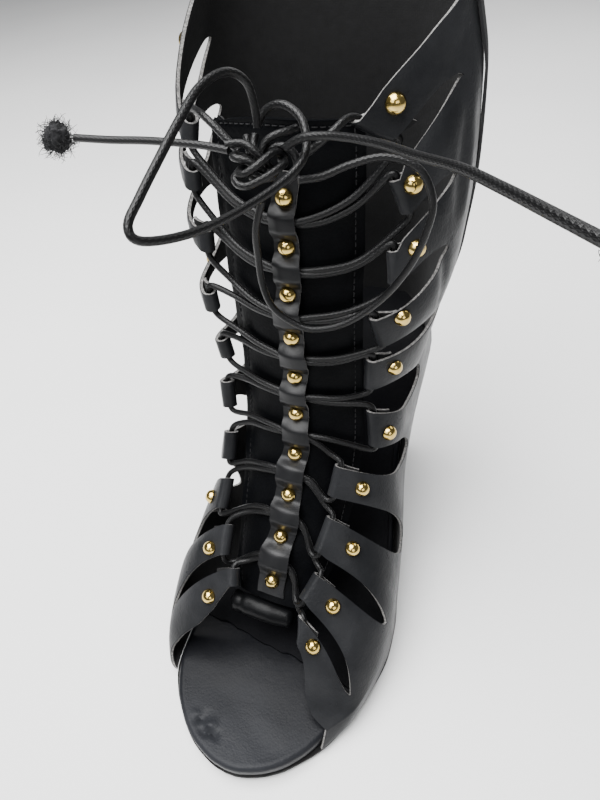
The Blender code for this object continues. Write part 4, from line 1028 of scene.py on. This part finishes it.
def seam_line(bm, points, normals, pitch=2.6, long=1.7, thick=0.42):
    """Row of separate stitches along points that lie on a surface, each a short thread pressed into it."""
    line = evenly(points, pitch)
    for a, b in zip(line, line[1:]):
        way = (b - a).normalized() * long
        up = normals[min(range(len(points)), key=lambda k: (points[k] - a).length)]
        middle = a.lerp(b, 0.5) + up * 0.05
        thread = [middle + way * part + up * high
                  for part, high in ((-0.5, -0.25), (-0.3, 0.1), (0.3, 0.1), (0.5, -0.25))]
        tube(bm, thread, thick, 5)


def tongue_spot(stud, u, trim=0, lift=0):
    """Place on the tongue: u runs from -1 at its medial edge to 1 at its lateral one. Near the top the medial
    corner is cut lower."""
    reach = smooth(TONGUE, "stud", side_name(u), stud) - trim
    drop = TONGUE_DROP * u * u * min(max(stud - 11, 0), 1) if u < 0 else 0
    return on_tongue(stud - drop, reach * u, lift)


def build_tongue():
    """Padded tongue with a turned edge, a seam round it and soft folds across its middle."""
    steps, across = 120, 40
    points, lifts = [], []
    for i in range(steps + 1):
        stud = mix(TONGUE_FROM, TONGUE_TO, i / steps)
        top = max(0, (stud - 11.8) / 0.2)
        for u in crosswise(across):
            points.append(tongue_spot(stud, u, 2 * top * top))
            seam = max(math.exp(-((abs(u) - SIDE_SEAM) * 26 / 0.8) ** 2),
                       math.exp(-((stud - TOP_SEAM) / 0.045) ** 2))
            puff = 0.45 * (1 - u * u) * math.sin(stud * 2.1 + 1.2 * u) + 0.25 * math.sin(stud * 4.7 - 2 * u)
            lifts.append(puff * (1 if stud < 11.4 else 0.4) - 0.45 * seam)
    bm = shell(points, grid_faces(steps + 1, across + 1), TONGUE_WALL, relief=lifts, under=1, edge=0.3)
    piece("tongue_padded", bm, [TONGUE_PAINTED_SHADE_LEATHER, LINING_PAINTED_SHADE], ["tongue"], 60)
    bm = bmesh.new()
    rows = [[(mix(0.6, 11.75, i / 120), side * SIDE_SEAM) for i in range(121)] for side in (1, -1)]
    rows.append([(TOP_SEAM, mix(-0.87, 0.87, i / 40)) for i in range(41)])
    for row in rows:
        spots = [tongue_spot(stud, u) for stud, u in row]
        ups = [(tongue_spot(stud, u, 0, 1) - spot).normalized() for (stud, u), spot in zip(row, spots)]
        seam_line(bm, [s - n * 0.3 for s, n in zip(spots, ups)], ups)
    piece("tongue_stitches", bm, [THREAD])


def build_toe_roll():
    """Padded roll along the front edge of the tongue, lying across the toe opening."""
    half_length, deep, tall = 14.8, 4.5, 3.8
    crown, along, out = tongue_frame(TONGUE_FROM)
    middle = crown - along * (deep + 0.9) - out * 1.6 - Vector((4, 0, 0))
    bm = bmesh.new()
    rings = []
    for u in crosswise(72):
        size = math.sqrt(max(1 - (max(0, abs(u) - 0.84) / 0.165) ** 2, 0.06))
        size *= 1 - 0.16 * smoothstep((u - 0.2) / 0.8) - 0.1 * math.exp(-((u + 0.62) / 0.1) ** 2)
        ring = []
        for a in circle(40):
            fold = 0.022 * math.sin(6 * u + 1.2 * math.cos(a)) * math.sin(a)
            swell = size * (1 + fold + 0.008 * math.sin(13 * u - 2 * a))
            ring.append(middle + Vector((u * half_length, 0, 0)) - out * 2 * u * u
                        + along * deep * swell * math.cos(a) + out * tall * swell * math.sin(a))
        rings.append(ring_of(bm, ring))
    loft(bm, rings, caps=True)
    faced_piece("toe_roll_padded", bm, ROLL, "toe_roll", 60)


SPINE_FROM, SPINE_TO = 0.6, 10.6
SPINE_GAP = GAP + 0.15  # air between the tongue and the spine strap at a stud


def build_spine_strap():
    """Studded strap down the tongue: flat at each stud, humped over the lace between, with wavy edges."""
    across, count = 16, 300
    points, lifts = [], []
    for i in range(count + 1):
        stud = mix(SPINE_FROM, SPINE_TO, i / count)
        off = abs(stud - round(stud))
        between = smoothstep((off - 0.1) / 0.34) if 0.9 < stud < 10.2 else 0
        hump = HUMP * smoothstep((off - 0.1) / 0.28) if 1 < stud < 10 else 0
        wide = smooth(TONGUE, "stud", "strap", stud) * (0.98 + 0.05 * between + 0.02 * math.sin(stud * 5.3))
        shift = 0.55 * math.sin(stud * 3.1 + 0.5) + 0.25 * math.sin(stud * 6.2)
        for u in crosswise(across):
            points.append(on_tongue(stud, shift + wide * u / 2, SPINE_GAP + hump + SPINE_WALL))
            curl = between * (0.3 - u * u) * 0.9 + 0.5 * max(-u - 0.72, 0) / 0.28 * (1 - between)
            ripple = 0.1 * math.sin(stud * 12.566 + 1.5 * u) * between * (0.4 + 0.6 * abs(u))
            lifts.append(curl + ripple)
    bm = shell(points, grid_faces(count + 1, across + 1), SPINE_WALL, relief=lifts, under=1, rim=2, edge=0.35)
    piece("spine_strap_leather", bm, [SPINE, LINING_PAINTED_SHADE, EDGE], ["spine_strap"], 45)


# ---- studs
STUD_PROFILE = table("reach height", [
    (0.97, 0), (1, 0.05), (1, 0.12), (0.975, 0.2), (0.94, 0.3), (0.88, 0.45), (0.8, 0.59), (0.7, 0.72),
    (0.58, 0.83), (0.44, 0.92), (0.3, 0.97), (0.15, 0.995),
])


def add_stud(name, base, normal):
    """Domed stud with a rolled foot, pressed into the leather at base."""
    bm = bmesh.new()
    normal = normal.normalized()
    side = normal.orthogonal().normalized()
    other = normal.cross(side)
    rings = []
    for row in STUD_PROFILE:
        wide = row["reach"] * STUD / 2
        foot = base + normal * (GAP - STUD_SUNK + row["height"] * (STUD_HEIGHT + STUD_SUNK))
        ways = [side * math.cos(a) + other * math.sin(a) for a in circle(32)]
        rings.append(ring_of(bm, [foot + way * wide for way in ways]))
    top = bm.verts.new(at(base + normal * (GAP + STUD_HEIGHT)))
    loft(bm, rings)
    for a, b in zip(rings[-1], rings[-1][1:] + rings[-1][:1]):
        bm.faces.new([a, b, top])
    bm.faces.new(rings[0])
    faced_piece(name.replace("stud", "dome"), bm, GOLD, name, 60)


def build_studs():
    for side in (1, -1):
        for index, strap in enumerate(STRAPS[side]):
            (row, front), (_, back) = (strap_point(side, index, strap["up"], part) for part in (0, 1))
            row, reach = strap_point(side, index, strap["up"], (strap["stud"] - front) / (back - front))
            normal = upper_normal(row, side, reach)
            base = on_upper(row, side, reach) + normal * 0.25
            add_stud("stud_%s_%d" % (side_name(side), strap["strap"]), base, normal)
    for number in range(1, 11):
        base = on_tongue(number, 0, SPINE_GAP + SPINE_WALL)
        add_stud("stud_spine_%d" % number, base, tongue_frame(number)[2])


# ---- lace
def loop_axis(side, index, across):
    """A point on the middle line of a strap's folded loop."""
    row, reach = strap_point(side, index, across, 0)
    return on_upper(row, side, reach) - upper_normal(row, side, reach) * LOOP


def loop_mouth(side, index, upper, beyond):
    """Middle of a loop's open end, moved out past the strap's edge by `beyond` mm."""
    spot, inside = loop_axis(side, index, float(upper)), loop_axis(side, index, 0.5)
    return spot + (spot - inside).normalized() * beyond


def tongue_station(point):
    """Place along the tongue's crown that is nearest to a point."""
    return min((k * 0.1 for k in range(121)), key=lambda s: (tongue_frame(s)[0] - point).length)


def lace_half(centre, lean, side, mouth):
    """Route of a lace run from under the spine strap to a loop's mouth, over the tongue."""
    reach = abs(mouth.x - tongue_frame(centre)[0].x)
    station = tongue_station(mouth)
    lift = CORD / 2 + 0.6
    route = []
    for across in (8, 16, 23):
        if across == 8 or across < reach - 9.5:
            where = centre + lean + (station - centre - lean) * (across / reach) ** 2.4
            route.append(on_tongue(where, side * across, lift + 0.3 * across / 8))
    if reach < 24:
        route.append(on_tongue(station, side * (reach - 6), lift + 0.8).lerp(mouth, 0.15))
    return route + [mouth]


def clear_mouth(side, index, upper):
    """A loop's mouth, moved out by up to half the way to the next loop."""
    neighbour = loop_mouth(side, index + 1 if upper else index - 1, not upper, 0)
    gap = (neighbour - loop_mouth(side, index, upper, 0)).length
    return loop_mouth(side, index, upper, min(3, (0.42 if upper else 0.64) * gap))


def lace_run(first):
    """Route of one lace from its first loop at the toe, in and out of the loops, to the top one."""
    route = []
    side, lean = first, 0.05
    for index in range(10):
        route += [loop_axis(side, index, across) for across in (0, 0.5, 1)]
        if index < 9:
            centre = index + 1.5
            below = lace_half(centre, -lean, side, clear_mouth(side, index, True))
            above = lace_half(centre, lean, -side, clear_mouth(-side, index + 1, False))
            middle = on_tongue(centre, 0, CORD / 2 + (0.45 if first > 0 else 2))
            route += below[::-1] + [middle] + above
            side = -side
    return route


ROUTES = {
    "lace_left_loop": [(-16, 113, 216), (-16.5, 114, 221), (-18, 113.5, 228), (-21, 108.5, 232),
        (-24, 99, 231), (-24, 87, 227), (-24, 75, 222), (-24.5, 65, 217), (-24.5, 58, 213),
        (-21.5, 58, 209.5), (-15, 69, 206.5), (-9.5, 86, 205), (-3, 102, 207), (-0.5, 111, 211),
        (-4, 118, 217), (-11, 121, 220), (-17, 121, 218), (-19, 118.5, 214)],
    "lace_right_loop": [(-4, 112, 202), (2, 116, 202), (9, 121, 204), (19, 124, 206), (29, 125, 203),
        (34, 124, 194), (33, 122, 184), (29, 120, 173), (21, 117, 161), (10, 111.5, 152.5),
        (-1, 107.5, 150), (-9, 106.5, 152.5), (-15.5, 106.5, 157.5), (-19, 108, 165), (-20, 109.5, 174),
        (-20, 110.5, 184), (-17.5, 112.5, 193.5)],
    "lace_left_end": [(-25, 110, 210), (-35, 109.5, 211), (-51, 108, 211.5), (-65, 106, 211.5),
        (-77, 104, 212)],
    "lace_right_end": [(-5.5, 108.5, 213), (0, 109, 216), (10, 108, 217.5), (24, 101, 219.5),
        (37, 90, 222), (49, 78, 225.5), (59, 66, 228), (68, 55, 230), (78, 45, 231)],
    "lace_left_lead": [(-38, 119.5, 216), (-31, 117, 212), (-25, 115.5, 207.5)],
    "lace_right_lead": [(5, 123, 214), (0, 118.5, 210), (-4.5, 116.5, 207)],
}


def lay_cord(name, line, nodes, sides=14):
    bm = bmesh.new()
    tube(bm, line, CORD, sides)
    return piece(name, bm, [CORD_LOOK], nodes, 60)


def build_runs():
    """The two laces through the loops, up to the knot."""
    for first, word in ((1, "left"), (-1, "right")):
        lead = "lace_%s_lead" % word
        route = lace_run(first) + [loop_mouth(-first, 9, True, 3)] + [Vector(p) for p in ROUTES[lead]]
        odd = ["lace_crossing_%d" % k for k in range(1, 10) if k % 2 == (first > 0)]
        lay_cord("lace_run_" + word, relax(evenly(spline(route, 10), 0.8), 30), odd + [lead], 12)


def build_free_lace():
    """The bow: two loops and two ends, with a frayed tuft at each end."""
    far = {"lace_left_loop": "object", "lace_right_loop": "object", "lace_left_end": "knot",
           "lace_right_end": "knot"}
    for name, end in far.items():
        line = evenly(spline([Vector(p) for p in ROUTES[name]], 10), 0.8)
        cord = lay_cord(name.replace("lace", "bow"), line, [name])
        tufts = []
        if name == "lace_left_end":
            tufts = [build_tuft("frayed_left_tuft", Vector(TUFT), 6.8, ["lace_tuft"])]
        if name == "lace_right_end":
            ahead = (line[-1] - line[-3]).normalized()
            tufts = [build_tuft("frayed_right_tuft", line[-1] + ahead * 4, 4.6, [])]


TUFT = (-83, 103, 211.6)


def build_tuft(name, centre, size, nodes):
    """Frayed end of the lace: a tight little knot lost in a tangle of curled loose fibres."""
    bm = bmesh.new()
    chance = random.Random(len(name))

    def scatter(draw, low, high):
        return Vector([draw(low, high) for _ in range(3)])

    for _ in range(5):
        off = scatter(chance.uniform, -1, 1) * size * 0.34
        grow = size * chance.uniform(0.34, 0.52)
        for v in bmesh.ops.create_icosphere(bm, subdivisions=4, radius=1)["verts"]:
            rough = 1 + 0.3 * noise.noise(v.co * 2.6 + off) + 0.16 * noise.noise(v.co * 8)
            v.co = at(centre + off + v.co * grow * rough)
    for _ in range(420):
        way = scatter(chance.gauss, 0, 1).normalized()
        point = centre + way * size * chance.uniform(0.35, 0.75)
        turn = scatter(chance.gauss, 0, 1)
        heading = (way * 0.6 + turn * 0.5).normalized()
        points = []
        for _ in range(6):
            points.append(point)
            point = point + heading * size * 0.11
            heading = (heading + way.cross(turn) * 0.45 - way * 0.12).normalized()
        tube(bm, points, chance.uniform(0.16, 0.3), 3, lambda t: 1 - 0.6 * t)
    return piece(name, bm, [FRAY], nodes, 60)


# The knot: lengths of the lace wound over and under each other. Each point is right, up and front of the
# knot's middle in mm, as the knot faces the toe.
KNOT = Vector((-14, 112, 206))
KNOT_RIGHT = Vector((0.89, 0.44, -0.08))
KNOT_UP = Vector((-0.25, 0.66, 0.71))
KNOT_FRONT = Vector((0.37, -0.61, 0.7))
WRAPS = {
    "left_end_in": [(-12, 6, 0.2), (-9, 6.1, 0.8), (-6.4, 5.6, 1.4), (-3.6, 3.4, 1.8), (-0.8, 0.9, 1),
        (1.4, -1.2, -0.8)],
    "left_bight": [(-4, 1.6, -1.4), (-7.4, 3, -1.2), (-9.8, 2.9, -0.2), (-9.6, 1.6, 1.2), (-6.4, 0.5, 2),
        (-3, -1, 1.6), (-0.4, -2.6, 0.2)],
    "front_band": [(5.6, 2.6, -1.4), (4.4, 3, 0.6), (2.2, 2.2, 2.8), (-1.2, -0.8, 4), (-4.4, -3, 3.6),
        (-7, -4.1, 2.6), (-8.4, -3, 1), (-7.4, -0.8, -0.8), (-4.6, 0.6, -1.8)],
    "under_band": [(4.4, 2, -1.6), (5.6, 0.2, 0.4), (4.2, -1.8, 2), (1, -4.2, 2.8), (-2.6, -6, 2.6),
        (-6.2, -7.2, 1.8), (-8.9, -6, 0.8), (-9.6, -3.6, -0.4), (-8.2, -1.4, -1.8)],
    "right_arch": [(-0.4, 2.8, -1.2), (1.6, 4.4, 0.8), (4.8, 4.6, 1.8), (7.6, 3.2, 1.6), (9.2, 0.4, 0.8),
        (8.8, -2.8, -0.4), (6.2, -4.6, -1.8)],
    "inner_turn": [(3, -0.8, -1.6), (2.2, -3.2, -0.4), (0.2, -4.6, 0.6), (-2.8, -4.6, 0.8),
        (-4.4, -3.6, -0.6)],
    "right_end_out": [(-1, 0.4, -1.2), (-1.2, 3.4, 0.8), (0.2, 6, 2), (2.8, 7.4, 2.6), (6, 8.4, 2.4),
        (9.4, 9.8, 1.6)],
    "loop_in": [(-3, 9, -0.4), (-3.6, 6.6, -0.4), (-3.4, 4.4, -0.2), (-2, 2.2, -0.6)],
    "loop_back": [(-5.6, 9.2, -1.6), (-5.4, 6.4, -1.4), (-4.6, 3.6, -1.6)],
}


def knot_point(right, up, front):
    return KNOT + KNOT_RIGHT * right + KNOT_UP * up + KNOT_FRONT * front


def build_knot():
    bm = bmesh.new()
    for route in WRAPS.values():
        tube(bm, relax(evenly(spline([knot_point(*p) for p in route], 10), 0.5), 6), CORD, 14)
    piece("bow_knot", bm, [CORD_LOOK], ["lace_knot"], 60)


# ---- camera, floor and light
CAMERA = table("x y z tilt turn roll focal", [(69.7, -45.1, 281.3, 44.5, 27.4, -6.5, 36.18)])[0]


def build_camera():
    """Camera in front of the toe's outer side, looking down along the foot."""
    tilt, turn, roll = (math.radians(CAMERA[name]) for name in ("tilt", "turn", "roll"))
    data = bpy.data.cameras.new("camera")
    data.sensor_fit = "HORIZONTAL"
    data.sensor_width = 36
    data.lens = CAMERA["focal"]
    data.clip_start = 0.01
    camera = add_object("camera", data)
    aim = (Matrix.Rotation(turn, 4, "Z") @ Matrix.Rotation(math.pi / 2 - tilt, 4, "X")
           @ Matrix.Rotation(roll, 4, "Z"))
    camera.matrix_world = Matrix.Translation(at([CAMERA[name] for name in "xyz"])) @ aim
    bpy.context.scene.camera = camera


def build_floor():
    bm = bmesh.new()
    bmesh.ops.create_grid(bm, x_segments=2, y_segments=2, size=3)
    m = Nodes("floor_pale", (0.72, 0.72, 0.72), 0.55, specular=0.3)
    m.colour(m.noise(3, 2), [(0.35, (0.8, 0.8, 0.8)), (0.7, (0.86, 0.86, 0.855))])
    add_mesh("floor", bm, [m.material])


def add_light(name, place, aim, size, power, colour=(1, 1, 1)):
    data = bpy.data.lights.new(name, "AREA")
    data.shape = "RECTANGLE"
    data.size, data.size_y = size
    data.energy = power
    data.color = colour
    light = add_object(name, data)
    light.location = place
    light.rotation_euler = (Vector(aim) - Vector(place)).to_track_quat("-Z", "Y").to_euler()


def build_light():
    world = bpy.data.worlds.new("studio")
    bpy.context.scene.world = world
    world.use_nodes = True
    back = world.node_tree.nodes["Background"]
    back.inputs["Color"].default_value = (0.95, 0.97, 1, 1)
    back.inputs["Strength"].default_value = 0.16
    add_light("key", (-0.2, -0.1, 1.1), (0, 0, 0.05), (1, 0.8), 44)
    add_light("front", (-0.35, -0.85, 0.95), (0, 0, 0.1), (0.8, 0.6), 7, (0.98, 0.99, 1))
    add_light("side", (0.75, -0.75, 0.7), (0, 0, 0.2), (0.6, 0.5), 3)
    add_light("rim", (0.15, 0.95, 0.8), (0, 0, 0.12), (1, 0.5), 5)


build_camera()
build_floor()
build_light()
build_free_lace()
build_knot()
build_runs()
build_sole()
build_upper()
build_side_strip()
build_tongue()
build_toe_roll()
build_spine_strap()
build_studs()
